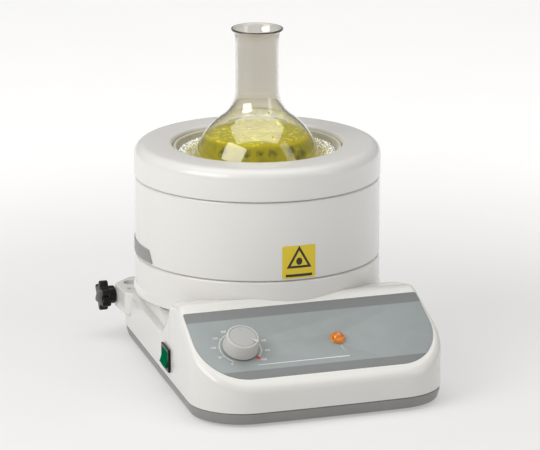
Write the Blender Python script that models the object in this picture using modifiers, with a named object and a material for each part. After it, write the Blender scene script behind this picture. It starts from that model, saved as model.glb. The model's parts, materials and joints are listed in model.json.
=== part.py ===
"""Laboratory heating mantle with a 500 ml round-bottom flask standing in its nest.

Metres, +Z up. The origin is where the drum's axis meets the bench, and the control panel
faces -Y. A drum of three plastic rings holds the heated glass-cloth nest; it stands on a
base with a sloping console, a grey bottom tray and a rod clamp at the rear left.
"""

import math

import bmesh
import bpy
from mathutils import Matrix, Vector

GAP = 0.0003
WALL = 0.003
ROUND_STEPS = 48
FLASK_STEPS = 32
HOLE_STEPS = 12

# Base, seen from above: a trapezium that narrows to the rear
BASE_FRONT_Y = -0.1810
BASE_FRONT_BOW = 0.0024
BASE_REAR_Y = 0.1280
BASE_FRONT_HALF = 0.1100
BASE_TAPER = math.radians(5.5)
FRONT_CORNER_R = 0.044
REAR_CORNER_R = 0.040

# Base, heights
FOOT_PROUD = 0.0020
TRAY_TOP_Z = 0.0115
TRAY_FLOOR = 0.0025
PLATE_FIELD_W = 0.0500
PLATE_FIELD_H = 0.0300
PLATE_FIELD_PROUD = 0.0004
TRAY_SLANT = 0.0026
COVER_BOTTOM_Z = 0.0118
DECK_Z = 0.0450
DECK_END_Y = -0.0385
COVE_Y, COVE_Z = -0.0650, 0.0650
SHOULDER_Y, SHOULDER_Z = -0.0680, 0.0762
RIDGE_Y, RIDGE_Z = -0.0950, 0.0804
CONSOLE_EDGE_R = 0.0055
DECK_EDGE_R = 0.0045
POST_R, SCREW_HOLE_R = 0.0045, 0.0019

# Printed panel, in the console's slope
PANEL_TOP_Y, PANEL_TOP_Z = -0.1033, 0.0756
PANEL_TILT = math.radians(29.94)
PANEL_LENGTH = 0.0768
PANEL_TOP_HALF = 0.0993
PANEL_LOW_HALF = 0.1016
PANEL_CORNER_R = 0.0375
PANEL_TOP_CORNER_R = 0.0015
PANEL_THICK = 0.0005
PANEL_RECESS = 0.0008

# Controls
DIAL_X, DIAL_U = -0.0639, 0.0420
DIAL_R, DIAL_TOP_R, DIAL_H = 0.0145, 0.0128, 0.0130
DIAL_CAP_R = 0.0110
SHAFT_R = 0.0030
LAMP_X, LAMP_U = 0.0183, 0.0420
LAMP_R = 0.0059
DIAL_HOLE_R, LAMP_HOLE_R = 0.0050, 0.0052
SWITCH_Y, SWITCH_Z = -0.0595, 0.0280
SWITCH_W, SWITCH_H = 0.0260, 0.0195
ROCKER_W, ROCKER_H = 0.0196, 0.0128
ROCKER_TILT = math.radians(9.0)

# Drum
DRUM_R = 0.1004
LIP_R, LIP_Z = 0.1019, 0.0630
LOW_GROOVE_Z, TOP_GROOVE_Z = 0.0940, 0.1594
GROOVE_HALF = 0.0006
SHELL_IN_R = 0.0983
SPIGOT_R, SPIGOT_IN_R = 0.0980, 0.0958
RING_R, RING_TOP_Z = 0.1010, 0.1858
RING_EDGE_R = 0.0090
MOUTH_R = 0.0695
PEDESTAL_LOW_R, PEDESTAL_R, PEDESTAL_Z = 0.0970, 0.0910, 0.0570
NECK_R, NECK_Z = 0.0840, 0.0627
WELL_R = 0.0820
DRUM_SCREW_R = 0.0700
SHIELD_Z = 0.0680

# Flask and nest
BULB_R, BULB_Z = 0.0525, 0.1636
FLASK_NECK_R, FLASK_TOP_Z = 0.0178, 0.2807
FLASK_FILLET_R = 0.0270
FLASK_WALL = 0.0020
FLASK_RIM_R = 0.0213
LIQUID_Z = 0.1923
NEST_IN_R, NEST_OUT_R = 0.0530, 0.0600
COLLAR_TOP_Z = 0.1828

# Rod clamp, a block let into the base's rear left corner
CLAMP_OUT_X, CLAMP_IN_X = -0.0885, -0.0560
CLAMP_FRONT_Y, CLAMP_REAR_Y = 0.0730, 0.1285
CLAMP_LOW_Z, CLAMP_TOP_Z = 0.0250, 0.0440
ROD_X, ROD_Y, ROD_R, ROD_FLOOR_Z = -0.0740, 0.1110, 0.0063, 0.0275
SCREW_Z = 0.0350
PAD_PROUD = 0.0025
NUT_R = 0.0045
STAR_R, STAR_LOBE, STAR_LOBES = 0.0107, 0.0021, 6
STAR_THICK, HUB_R, HUB_LONG = 0.0075, 0.0076, 0.0056

# Inside and behind
INLET_X, CONNECTOR_Z, FUSE_PITCH = 0.0400, 0.0290, 0.0330
BOARD_Z = 0.0143

MATERIALS = {
    "white_abs": ((0.80, 0.80, 0.78, 1), 0.28, 0.0),
    "grey_abs": ((0.33, 0.33, 0.33, 1), 0.45, 0.0),
    "panel_grey": ((0.34, 0.37, 0.37, 1), 0.40, 0.0),
    "knob_white": ((0.78, 0.78, 0.75, 1), 0.35, 0.0),
    "cap_grey": ((0.55, 0.56, 0.55, 1), 0.40, 0.0),
    "black_plastic": ((0.02, 0.02, 0.02, 1), 0.40, 0.0),
    "green_lens": ((0.00, 0.30, 0.12, 1), 0.25, 0.0),
    "amber_lens": ((0.85, 0.35, 0.03, 1), 0.15, 0.0),
    "cream_collar": ((0.80, 0.78, 0.70, 1), 0.50, 0.0),
    "glass_cloth": ((0.85, 0.84, 0.80, 1), 0.90, 0.0),
    "glass_wool": ((0.78, 0.72, 0.50, 1), 0.95, 0.0),
    "aluminium": ((0.75, 0.75, 0.76, 1), 0.35, 1.0),
    "steel": ((0.60, 0.60, 0.61, 1), 0.30, 1.0),
    "brass": ((0.70, 0.52, 0.20, 1), 0.30, 1.0),
    "rubber": ((0.03, 0.03, 0.03, 1), 0.85, 0.0),
    "circuit_green": ((0.03, 0.22, 0.08, 1), 0.50, 0.0),
    "yellow_label": ((0.95, 0.78, 0.02, 1), 0.45, 0.0),
    "badge_grey": ((0.45, 0.45, 0.45, 1), 0.40, 0.0),
    "borosilicate": ((0.90, 0.93, 0.92, 1), 0.05, 0.0),
    "yellow_liquid": ((0.80, 0.78, 0.02, 1), 0.05, 0.0),
}

PARTS = CUTTERS = None


# ---------------------------------------------------------------- scene and materials


def clear_scene():
    for obj in list(bpy.data.objects):
        bpy.data.objects.remove(obj)


def make_collections():
    global PARTS, CUTTERS
    PARTS = bpy.data.collections.new("heating_mantle")
    CUTTERS = bpy.data.collections.new("cutters")
    for collection in (PARTS, CUTTERS):
        bpy.context.scene.collection.children.link(collection)


def material(name):
    found = bpy.data.materials.get(name)
    if found:
        return found
    colour, roughness, metallic = MATERIALS[name]
    made = bpy.data.materials.new(name)
    made.use_nodes = True
    shader = made.node_tree.nodes["Principled BSDF"]
    shader.inputs["Base Color"].default_value = colour
    shader.inputs["Roughness"].default_value = roughness
    shader.inputs["Metallic"].default_value = metallic
    return made


# ---------------------------------------------------------------- outlines


def rounded(corners, radii, step=math.radians(15), closed=True):
    """The corners of an outline, with each one of a given radius turned into an arc."""
    count = len(corners)
    points = []
    for i, (corner, radius) in enumerate(zip(corners, radii)):
        here = Vector(corner)
        if radius == 0 or (not closed and i in (0, count - 1)):
            points.append(here)
            continue
        back = (Vector(corners[i - 1]) - here).normalized()
        ahead = (Vector(corners[(i + 1) % count]) - here).normalized()
        opening = back.angle(ahead)
        reach = radius / math.tan(opening / 2)
        centre = here + (back + ahead).normalized() * (radius / math.sin(opening / 2))
        start, end = here + back * reach - centre, here + ahead * reach - centre
        turn = start.angle_signed(end)
        steps = max(1, math.ceil(abs(turn) / step))
        for k in range(steps + 1):
            points.append(centre + Matrix.Rotation(-turn * k / steps, 2) @ start)
    return [tuple(p) for p in points]


def base_half_width(y):
    return BASE_FRONT_HALF - (y - BASE_FRONT_Y) * math.tan(BASE_TAPER)


def base_outline(inset=0.0):
    """The base seen from above, anticlockwise, with every side moved in by inset."""
    slant = inset / math.cos(BASE_TAPER)
    front, rear = BASE_FRONT_Y + inset, BASE_REAR_Y - inset
    side = [(base_half_width(y) - slant, y) for y in (front + BASE_FRONT_BOW, rear)]
    right_front, right_rear = side
    corners = [(0, front), right_front, right_rear]
    corners += [(-x, y) for x, y in (right_rear, right_front)]
    big, small = FRONT_CORNER_R - inset, REAR_CORNER_R - inset
    return rounded(corners, [1.2, big, small, small, big], math.radians(10))


def side_profile(drop=0.0):
    """Height of the base's top over Y, from the rear to the front, lowered by drop."""
    front_y = BASE_FRONT_Y - 0.02
    front_z = RIDGE_Z - (RIDGE_Y - front_y) * math.tan(PANEL_TILT)
    corners = [
        (BASE_REAR_Y + 0.01, DECK_Z - drop),
        (DECK_END_Y - drop / 2, DECK_Z - drop),
        (COVE_Y - drop / 2, COVE_Z - drop),
        (SHOULDER_Y - drop, SHOULDER_Z - drop),
        (RIDGE_Y, RIDGE_Z - drop * 1.1),
        (front_y, front_z - drop * 1.15),
    ]
    radii = [0, 0.016, 0.008, 0.0045, 0.010, 0]
    return rounded(corners, radii, math.radians(16), closed=False)


def height_at(profile, y):
    for (y0, z0), (y1, z1) in zip(profile, profile[1:]):
        if y1 <= y <= y0:
            return z0 + (z1 - z0) * (y0 - y) / (y0 - y1)
    return profile[-1][1]


def star_outline(steps=36):
    turns = [2 * math.pi * k / steps for k in range(steps)]
    radii = [STAR_R + STAR_LOBE * math.cos(STAR_LOBES * t) for t in turns]
    return [(r * math.cos(t), r * math.sin(t)) for r, t in zip(radii, turns)]


# ---------------------------------------------------------------- places


def panel_point(x, u, h=0.0):
    """A point of the panel: x across, u down the slope from its top edge, h above it."""
    sin, cos = math.sin(PANEL_TILT), math.cos(PANEL_TILT)
    return Vector((x, PANEL_TOP_Y - u * cos - h * sin, PANEL_TOP_Z - u * sin + h * cos))


def panel_frame(x, u):
    """Local Z is the panel's normal and local Y points up the slope."""
    return Matrix.Translation(panel_point(x, u)) @ Matrix.Rotation(PANEL_TILT, 4, "X")


def wall_frame():
    """On the left wall at the switch: local Z points out, X to the front and Y up."""
    x = -base_half_width(SWITCH_Y)
    out = Vector((-math.cos(BASE_TAPER), math.sin(BASE_TAPER), 0))
    up = Vector((0, 0, 1))
    forward = up.cross(out)
    turn = Matrix((forward, up, out)).transposed().to_4x4()
    return Matrix.Translation((x, SWITCH_Y, SWITCH_Z)) @ turn


def clamp_frame(x=0.0):
    """On the clamp screw's axis at x: local Z points out to the left."""
    turn = Matrix.Rotation(-math.pi / 2, 4, "Y")
    return Matrix.Translation((x, ROD_Y, SCREW_Z)) @ turn


# ---------------------------------------------------------------- building blocks


def add(name, mesh, look=None, frame=None):
    """Puts a mesh in the scene: a part where it has a look, and otherwise a cutter."""
    obj = bpy.data.objects.new(name, mesh)
    if frame:
        obj.matrix_world = frame
    if look:
        mesh.materials.append(material(look))
        PARTS.objects.link(obj)
        mesh.shade_smooth()
        mesh.set_sharp_from_angle(angle=math.radians(35))
    else:
        obj.hide_render = True
        obj.display_type = "WIRE"
        CUTTERS.objects.link(obj)
    return obj


def mesh_from(bm, name):
    bmesh.ops.recalc_face_normals(bm, faces=bm.faces)
    mesh = bpy.data.meshes.new(name)
    bm.to_mesh(mesh)
    bm.free()
    return mesh


def prism(name, outline, low, high, look=None, frame=None, low_outline=None):
    """An outline in the local XY plane, run from low to high; low_outline is for a slanted side."""
    bm = bmesh.new()
    bottom = [bm.verts.new((x, y, low)) for x, y in low_outline or outline]
    top = [bm.verts.new((x, y, high)) for x, y in outline]
    bm.faces.new(bottom)
    bm.faces.new(top)
    for i, vert in enumerate(bottom):
        bm.faces.new((bottom[i - 1], vert, top[i], top[i - 1]))
    return add(name, mesh_from(bm, name), look, frame)


def box(name, low, high, look=None, frame=None):
    bm = bmesh.new()
    bmesh.ops.create_cube(bm, size=1)
    size = [b - a for a, b in zip(low, high)]
    middle = [(a + b) / 2 for a, b in zip(low, high)]
    bmesh.ops.transform(
        bm, verts=bm.verts, matrix=Matrix.Translation(middle) @ Matrix.Diagonal((*size, 1))
    )
    return add(name, mesh_from(bm, name), look, frame)


def cylinder(name, radius, low, high, look=None, frame=None, steps=24, top_radius=None):
    bm = bmesh.new()
    top_radius = radius if top_radius is None else top_radius
    bmesh.ops.create_cone(
        bm, cap_ends=True, segments=steps, radius1=radius, radius2=top_radius,
        depth=high - low, matrix=Matrix.Translation((0, 0, (low + high) / 2)),
    )
    return add(name, mesh_from(bm, name), look, frame)


def hole(name, radius, low, high, frame):
    return cylinder(name, radius, low, high, frame=frame, steps=HOLE_STEPS)


def slot(name, half_width, half_height, low, high, frame):
    """A cutter through a wall, centred on its frame."""
    return box(name, (-half_width, -half_height, low), (half_width, half_height, high), frame=frame)


def turned(name, profile, look=None, frame=None, steps=ROUND_STEPS, ring=False):
    """A profile of (radius, height) turned about local Z. It runs down its outer side."""
    mesh = bpy.data.meshes.new(name)
    edges = [(i, i + 1) for i in range(len(profile) - 1)]
    if ring:
        edges.append((len(profile) - 1, 0))
    mesh.from_pydata([(r, 0, z) for r, z in profile], edges, [])
    obj = add(name, mesh, look, frame)
    screw = obj.modifiers.new("turn", "SCREW")
    screw.steps = screw.render_steps = steps
    screw.use_merge_vertices = True
    screw.merge_threshold = 1e-5
    screw.use_smooth_shade = True
    return obj


def pin(radius, low, high):
    """The profile of a plain round pin."""
    return [(0, high), (radius, high), (radius, low), (0, low)]


def combine(obj, other, operation="DIFFERENCE"):
    modifier = obj.modifiers.new(operation.lower(), "BOOLEAN")
    modifier.operation = operation
    modifier.solver = "EXACT"
    modifier.object = other
    return obj


def bevel(obj, width, segments=2, angle=40):
    modifier = obj.modifiers.new("bevel", "BEVEL")
    modifier.width = width
    modifier.segments = segments
    modifier.limit_method = "ANGLE"
    modifier.angle_limit = math.radians(angle)
    return obj


# ---------------------------------------------------------------- base


def base_block(name, inset, drop, low, look=None):
    """The base's outline as walls, with its side profile laid across as the top."""
    profile = side_profile(drop)
    stations = sorted((p for p in base_outline(inset) if p[0] > 1e-6), key=lambda p: p[1])
    for y, _ in profile:
        for (x0, y0), (x1, y1) in zip(stations, stations[1:]):
            if y0 + 1e-5 < y < y1 - 1e-5:
                stations.append((x0 + (x1 - x0) * (y - y0) / (y1 - y0), y))
                stations.sort(key=lambda p: p[1])
                break
    bm = bmesh.new()
    weight = bm.edges.layers.float.new("bevel_weight_edge")
    rows = []
    for x, y in stations:
        z = height_at(profile, y)
        rows.append([bm.verts.new(p) for p in ((-x, y, low), (-x, y, z), (x, y, z), (x, y, low))])
    for a, b in zip(rows, rows[1:]):
        for k in range(4):
            bm.faces.new((a[k], a[(k + 1) % 4], b[(k + 1) % 4], b[k]))
    bm.faces.new(rows[0])
    bm.faces.new(rows[-1][::-1])
    top = {v for row in rows for v in row[1:3]}
    bm.edges.ensure_lookup_table()
    for edge in bm.edges:
        ends = edge.verts
        across = abs(ends[0].co.y - ends[1].co.y) < 1e-7
        at_end = ends[0] in rows[0] or ends[0] in rows[-1]
        if ends[0] in top and ends[1] in top and (not across or at_end):
            low_y = min(v.co.y for v in ends)
            edge[weight] = 1.0 if low_y < DECK_END_Y else DECK_EDGE_R / CONSOLE_EDGE_R
    return add(name, mesh_from(bm, name), look)


def post_places():
    """Where the tray's screws meet the posts inside the cover."""
    return [(x * side, y) for x, y in ((0.0880, -0.1220), (0.0480, 0.1000)) for side in (-1, 1)]


def base_cover():
    cover = base_block("base_cover", 0, 0, COVER_BOTTOM_Z, "white_abs")
    edge = cover.modifiers.new("edge", "BEVEL")
    edge.width = CONSOLE_EDGE_R
    edge.segments = 3
    edge.limit_method = "WEIGHT"
    combine(cover, pedestal(), "UNION")
    combine(cover, drum_seat())
    cavity = base_block("cavity", WALL, WALL, COVER_BOTTOM_Z - 0.004)
    shelf = cylinder("drum_shelf", LIP_R + WALL, NECK_Z - WALL, 0.1, steps=ROUND_STEPS)
    combine(cover, combine(cavity, shelf))
    combine(cover, cylinder("well", WELL_R, DECK_Z - 0.012, NECK_Z - WALL, steps=ROUND_STEPS))
    low = FOOT_PROUD + TRAY_FLOOR + GAP
    for i, (x, y) in enumerate(post_places()):
        top = height_at(side_profile(WALL), y) + WALL / 2
        place = Matrix.Translation((x, y, 0))
        post = cylinder(f"post_{i}", POST_R, low, top, frame=place, steps=16)
        combine(cover, post, "UNION")
        combine(cover, hole(f"post_hole_{i}", SCREW_HOLE_R, low - 0.002, 0.018, place))
    combine(cover, cylinder("lead_hole", 0.0300, DECK_Z, NECK_Z + 0.002))
    for i, place in enumerate(drum_screw_frames()):
        combine(cover, hole(f"drum_hole_{i}", 0.0023, 0.055, NECK_Z + 0.002, place))
    combine(cover, panel_shape("recess", GAP, -PANEL_RECESS, 0.004))
    through = (-0.012, 0.004)
    dial_place, lamp_place = panel_frame(DIAL_X, DIAL_U), panel_frame(LAMP_X, LAMP_U)
    combine(cover, cylinder("dial_hole", DIAL_HOLE_R, *through, frame=dial_place))
    combine(cover, cylinder("lamp_hole", LAMP_HOLE_R, *through, frame=lamp_place))
    lap = 0.0012
    combine(cover, slot("switch_hole", SWITCH_W / 2 - lap, SWITCH_H / 2 - lap, *through, wall_frame()))
    combine(cover, slot("inlet_hole", 0.0138, 0.0103, *through, inlet_frame()))
    combine(cover, cylinder("fuse_hole", 0.0063, *through, frame=fuse_frame()))
    combine(cover, clamp_shape("clamp_hole", GAP, CLAMP_LOW_Z - GAP, DECK_Z + 0.01))
    return cover


def pedestal():
    """The cone and neck that the drum stands on, kept inside the base's walls."""
    low = DECK_Z - 0.001
    cone = cylinder(
        "pedestal", PEDESTAL_LOW_R, low, PEDESTAL_Z, steps=ROUND_STEPS, top_radius=PEDESTAL_R
    )
    combine(cone, prism("pedestal_limit", base_outline(DECK_EDGE_R), low - 0.01, 0.09), "INTERSECT")
    neck = cylinder("neck", NECK_R, low + 0.002, NECK_Z + 0.001, steps=ROUND_STEPS)
    return combine(cone, neck, "UNION")


def drum_seat():
    """The room that the drum's lowest ring takes in the cover, with a gap all round."""
    wall, lip = DRUM_R + GAP, LIP_R + GAP
    profile = [(0, 0.1), (wall, 0.1), (wall, LIP_Z + 0.0082), (lip, LIP_Z + 0.0032)]
    profile += [(lip, NECK_Z), (0, NECK_Z)]
    return turned("drum_seat", profile)


def base_tray():
    rim, foot = base_outline(0.0004), base_outline(TRAY_SLANT)
    tray = prism("base_tray", rim, FOOT_PROUD, TRAY_TOP_Z, "grey_abs", low_outline=foot)
    bevel(tray, 0.0010, 1, 60)
    field = slot(
        "plate_field", PLATE_FIELD_W / 2, PLATE_FIELD_H / 2, FOOT_PROUD - PLATE_FIELD_PROUD, 0.0030, Matrix()
    )
    combine(tray, field, "UNION")
    floor = FOOT_PROUD + TRAY_FLOOR
    combine(tray, prism("tray_pocket", base_outline(0.0054), floor, 0.02))
    for i, (x, y) in enumerate(board_posts()):
        place = Matrix.Translation((x, y, 0))
        top = BOARD_Z - GAP
        post = cylinder(f"board_post_{i}", 0.0028, floor - 0.001, top, frame=place, steps=HOLE_STEPS)
        combine(tray, post, "UNION")
    for i, (x, y) in enumerate(post_places()):
        place = Matrix.Translation((x, y, 0))
        combine(tray, hole(f"tray_hole_{i}", SCREW_HOLE_R, -0.001, 0.02, place))
    for i, (x, y) in enumerate(foot_places()):
        place = Matrix.Translation((x, y, 0))
        combine(tray, hole(f"foot_hole_{i}", 0.0026, -0.001, 0.02, place))
    return tray


def foot_places():
    return [(x * side, y) for x, y in ((0.0800, -0.1440), (0.0600, 0.0850)) for side in (-1, 1)]


def feet_and_screws():
    ends = ("front", "front", "rear", "rear")
    sides = ("left", "right") * 2
    for end, side, foot, post in zip(ends, sides, foot_places(), post_places()):
        profile = [(0, 0.0064), (0.0023, 0.0064), (0.0023, FOOT_PROUD - GAP)]
        profile += [(0.0085, FOOT_PROUD - GAP), (0.0080, 0), (0, 0)]
        turned(f"foot_{end}_{side}", profile, "rubber", Matrix.Translation((*foot, 0)), 20)
        screw = [(0, 0.0160), (0.0015, 0.0160), (0.0015, FOOT_PROUD - GAP)]
        screw += [(0.0032, FOOT_PROUD - GAP), (0.0027, 0.0005), (0, 0.0005)]
        turned(f"tray_screw_{end}_{side}", screw, "steel", Matrix.Translation((*post, 0)), 12)


# ---------------------------------------------------------------- panel and controls


def panel_shape(name, grow, low, high, look=None):
    """The printed panel's outline. Its low corners are arcs in plan, so ellipses on the slope."""
    top, bottom = PANEL_TOP_HALF + grow, PANEL_LOW_HALF + grow
    slope = math.cos(PANEL_TILT)
    length = (PANEL_LENGTH + grow) * slope
    corners = [(-bottom, -length), (bottom, -length), (top, grow), (-top, grow)]
    radii = [PANEL_CORNER_R] * 2 + [PANEL_TOP_CORNER_R] * 2
    plan = rounded(corners, radii, math.radians(11))
    outline = [(x, y / slope if y < 0 else y) for x, y in plan]
    return prism(name, outline, low, high, look, panel_frame(0, 0))


def panel_overlay():
    overlay = panel_shape("panel_overlay", 0, -PANEL_THICK, 0, "panel_grey")
    eyes = (("dial_eye", DIAL_X, DIAL_U, DIAL_HOLE_R), ("lamp_eye", LAMP_X, LAMP_U, LAMP_HOLE_R))
    for name, x, u, radius in eyes:
        combine(overlay, cylinder(name, radius, -0.003, 0.003, frame=panel_frame(x, u)))
    return overlay


def dial():
    frame = panel_frame(DIAL_X, DIAL_U)
    low, seat = 0.0008, DIAL_H - 0.0011
    edge = 0.0012
    profile = [(0, seat), (DIAL_CAP_R + GAP, seat), (DIAL_CAP_R + GAP, DIAL_H)]
    profile += [(DIAL_TOP_R - edge / 2, DIAL_H), (DIAL_TOP_R, DIAL_H - edge)]
    profile += [(DIAL_R - 0.0004, low + 0.002), (DIAL_R, low), (SHAFT_R + GAP, low)]
    profile += [(SHAFT_R + GAP, 0.0090), (0, 0.0090)]
    turned("dial_knob", profile, "knob_white", frame, 32)
    turned("dial_knob_cap", pin(DIAL_CAP_R, seat + GAP, DIAL_H - 0.0002), "cap_grey", frame, 32)
    turned("dial_shaft", pin(SHAFT_R, -0.0148, 0.0087), "brass", frame, 20)
    bore = SHAFT_R + GAP
    profile = [(bore, -0.0002), (0.0046, -0.0002), (0.0046, -0.0042), (0.0120, -0.0042)]
    profile += [(0.0120, -0.0170), (0, -0.0170), (0, -0.0151), (bore, -0.0151)]
    turned("dial_potentiometer", profile + [profile[0]], "steel", frame, 20)


def pilot_lamp():
    frame = panel_frame(LAMP_X, LAMP_U)
    dome = [(0, 0.0046), (0.0022, 0.0043), (0.0042, 0.0033), (0.0053, 0.0018)]
    dome += [(LAMP_R, 0.0014), (LAMP_R, GAP), (0.0046, GAP), (0.0046, -0.0010), (0, -0.0010)]
    turned("pilot_lamp_lens", dome, "amber_lens", frame, 24)
    body = [(0, -0.0013), (0.0046, -0.0013), (0.0046, -0.0042), (0.0080, -0.0042)]
    body += [(0.0080, -0.0068), (0.0046, -0.0068), (0.0042, -0.0210), (0, -0.0210)]
    turned("pilot_lamp_body", body, "black_plastic", frame, 20)


def power_switch():
    wall = wall_frame()
    half_w, half_h = SWITCH_W / 2, SWITCH_H / 2
    front, border = 0.0022, 0.0015
    bezel = box("switch_bezel", (-half_w, -half_h, GAP), (half_w, half_h, front), "black_plastic", wall)
    bevel(bezel, 0.0009)
    barrel = slot("switch_barrel", half_w - border, half_h - border, -0.0180, 0.0010, wall)
    combine(bezel, barrel, "UNION")
    mouth = slot("switch_mouth", ROCKER_W / 2 + 0.0005, ROCKER_H / 2 + 0.0008, -0.0070, 0.01, wall)
    combine(bezel, mouth)
    half, ends, dip, low = ROCKER_H / 2, 0.0036, 0.0026, -0.0030
    corners = [(-half, 0), (-half / 2, low), (half / 2, low), (half, 0)]
    corners += [(half, ends), (0, dip), (-half, ends)]
    outline = rounded(corners, [0, 0, 0, 0, 0.0006, 0.004, 0.0006], math.radians(20))
    across = Matrix(((0, 0, 1), (1, 0, 0), (0, 1, 0))).to_4x4()
    place = wall @ Matrix.Rotation(-ROCKER_TILT, 4, "X") @ across
    prism("switch_rocker", outline, -ROCKER_W / 2, ROCKER_W / 2, "green_lens", place)


# ---------------------------------------------------------------- drum


def drum_screw_frames():
    for k in range(3):
        turn = Matrix.Rotation(math.radians(90 + 120 * k), 4, "Z")
        yield turn @ Matrix.Translation((DRUM_SCREW_R, 0, 0))


def arc(centre, radius, start, end, steps):
    """Points of (radius, height) on an arc between two angles in degrees."""
    turns = [math.radians(start + (end - start) * k / steps) for k in range(steps + 1)]
    return [(centre[0] + radius * math.cos(t), centre[1] + radius * math.sin(t)) for t in turns]


def drum():
    low_top, shell_low = LOW_GROOVE_Z - GROOVE_HALF, LOW_GROOVE_Z + GROOVE_HALF
    shell_top, ring_low = TOP_GROOVE_Z - GROOVE_HALF, TOP_GROOVE_Z + GROOVE_HALF
    soft = 0.0008

    floor_z = LIP_Z + 0.0020
    profile = [(SPIGOT_R, 0.1000), (SPIGOT_R, low_top), (DRUM_R - soft, low_top)]
    profile += [(DRUM_R, low_top - soft), (DRUM_R, LIP_Z + 0.0080), (LIP_R, LIP_Z + 0.0030)]
    profile += [(LIP_R, LIP_Z + 0.0010), (LIP_R - 0.0010, LIP_Z), (0.0600, LIP_Z), (0.0600, floor_z)]
    profile += [(SPIGOT_IN_R, floor_z), (SPIGOT_IN_R, 0.1000)]
    lower = turned("drum_lower_ring", profile, "white_abs", ring=True)
    seat = floor_z + GAP
    screw = [(0, seat + 0.0022), (0.0030, seat + 0.0022), (0.0040, seat), (0.0020, seat)]
    screw += [(0.0020, 0.0600), (0, 0.0600)]
    for i, place in enumerate(drum_screw_frames()):
        combine(lower, hole(f"lower_hole_{i}", 0.0024, LIP_Z - 0.002, floor_z + 0.002, place))
        turned(f"drum_screw_{i + 1}", screw, "steel", place, HOLE_STEPS)

    profile = [(SHELL_IN_R, shell_top), (DRUM_R - soft, shell_top), (DRUM_R, shell_top - soft)]
    profile += [(DRUM_R, shell_low + soft), (DRUM_R - soft, shell_low), (SHELL_IN_R, shell_low)]
    turned("drum_shell", profile, "white_abs", ring=True)

    edge_r = RING_EDGE_R
    outer = arc((RING_R - edge_r, RING_TOP_Z - edge_r), edge_r, 90, 0, 5)
    mouth = arc((MOUTH_R + 0.003, RING_TOP_Z - 0.003), 0.003, 180, 90, 2)
    roof_z, skirt_z = RING_TOP_Z - 0.0025, 0.1740
    profile = outer + [(RING_R, ring_low + soft), (RING_R - soft, ring_low), (SPIGOT_R, ring_low)]
    profile += [(SPIGOT_R, 0.1530), (SPIGOT_IN_R, 0.1530), (SPIGOT_IN_R, roof_z - 0.0060)]
    throat = MOUTH_R + 0.0025
    profile += [(RING_R - edge_r, roof_z), (throat, roof_z), (throat, skirt_z), (MOUTH_R, skirt_z)]
    turned("drum_top_ring", profile + mouth, "white_abs", ring=True)


def nest_parts():
    out, inside, ledge_z, under_z = MOUTH_R - GAP, 0.0662, 0.1722, 0.1700
    profile = [(out, COLLAR_TOP_Z), (out, ledge_z), (0.0800, ledge_z), (0.0800, under_z)]
    profile += [(inside, under_z), (inside, COLLAR_TOP_Z - 0.0012), (inside + 0.0006, COLLAR_TOP_Z)]
    turned("nest_collar", profile, "cream_collar", ring=True)

    inner = arc((0, BULB_Z), NEST_IN_R, -90, -6, 7)
    outer = arc((0, BULB_Z), NEST_OUT_R, 2, -90, 7)
    rim = [(0.0585, 0.1728), (0.0615, 0.1760), (0.0640, 0.1764), (0.0655, 0.1745), (0.0650, 0.1715)]
    profile = inner + rim + outer
    profile[0], profile[-1] = (0, inner[0][1]), (0, outer[-1][1])
    turned("heating_nest", profile, "glass_cloth", steps=FLASK_STEPS)

    hollow = arc((0, BULB_Z), NEST_OUT_R + 0.0012, -80, -1, 7)
    lip_r, lip_z, wool_r, wool_top = 0.0658, 0.1668, 0.0938, 0.1697
    wool_z = SHIELD_Z + 0.0013
    profile = hollow + [(lip_r, lip_z), (lip_r, wool_top), (wool_r, wool_top)]
    profile += [(wool_r, wool_z), (hollow[0][0], wool_z)]
    turned("nest_insulation", profile, "glass_wool", steps=FLASK_STEPS, ring=True)

    side, eye, sheet, top = 0.0953, 0.0140, 0.0010, 0.1690
    shield = [(side, top), (side, SHIELD_Z), (eye, SHIELD_Z), (eye, SHIELD_Z + sheet)]
    shield += [(side - sheet, SHIELD_Z + sheet), (side - sheet, top)]
    turned("heat_shield", shield, "aluminium", ring=True)

    top = SHIELD_Z - GAP
    shoulder, low = top - 0.0030, top - 0.0095
    cutout = [(0, top), (0.0040, top), (0.0040, shoulder), (0.0080, shoulder), (0.0080, low), (0, low)]
    turned("thermal_cutout", cutout, "steel", Matrix.Translation((0.0200, 0, 0)), 20)


def curved_plate(name, radius, start, end, low, high, look, slant=0.0):
    """A thin plate that follows the drum between two angles in degrees."""
    columns = 8
    bm = bmesh.new()
    rows = []
    for k in range(columns + 1):
        part = k / columns
        column = []
        for z, lean in ((low, slant), (high, 0)):
            turn = math.radians(start + (end + lean - start) * part)
            column.append(bm.verts.new((radius * math.cos(turn), radius * math.sin(turn), z)))
        rows.append(column)
    for a, b in zip(rows, rows[1:]):
        bm.faces.new((a[0], b[0], b[1], a[1]))
    obj = add(name, mesh_from(bm, name), look)
    solid = obj.modifiers.new("thickness", "SOLIDIFY")
    solid.thickness = 0.0004
    solid.offset = 1
    return obj


def labels():
    radius = DRUM_R + GAP + 0.0001
    curved_plate("caution_label", radius, -98.0, -82.0, 0.0960, 0.1228, "yellow_label")
    curved_plate("side_badge", radius, 150.0, 190.5, 0.0960, 0.1070, "badge_grey", 4.0)


# ---------------------------------------------------------------- flask


def flask_outer(offset=0.0):
    """The flask's half section from the bottom up, moved in by offset."""
    bulb, neck, fillet = BULB_R - offset, FLASK_NECK_R - offset, FLASK_FILLET_R + offset
    rise = math.sqrt((bulb + fillet) ** 2 - (neck + fillet) ** 2)
    meet = math.degrees(math.atan2(rise, neck + fillet))
    points = arc((0, BULB_Z), bulb, -90, meet, 12)
    points += arc((neck + fillet, BULB_Z + rise), fillet, 180 + meet, 180, 4)[1:]
    return points


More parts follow.
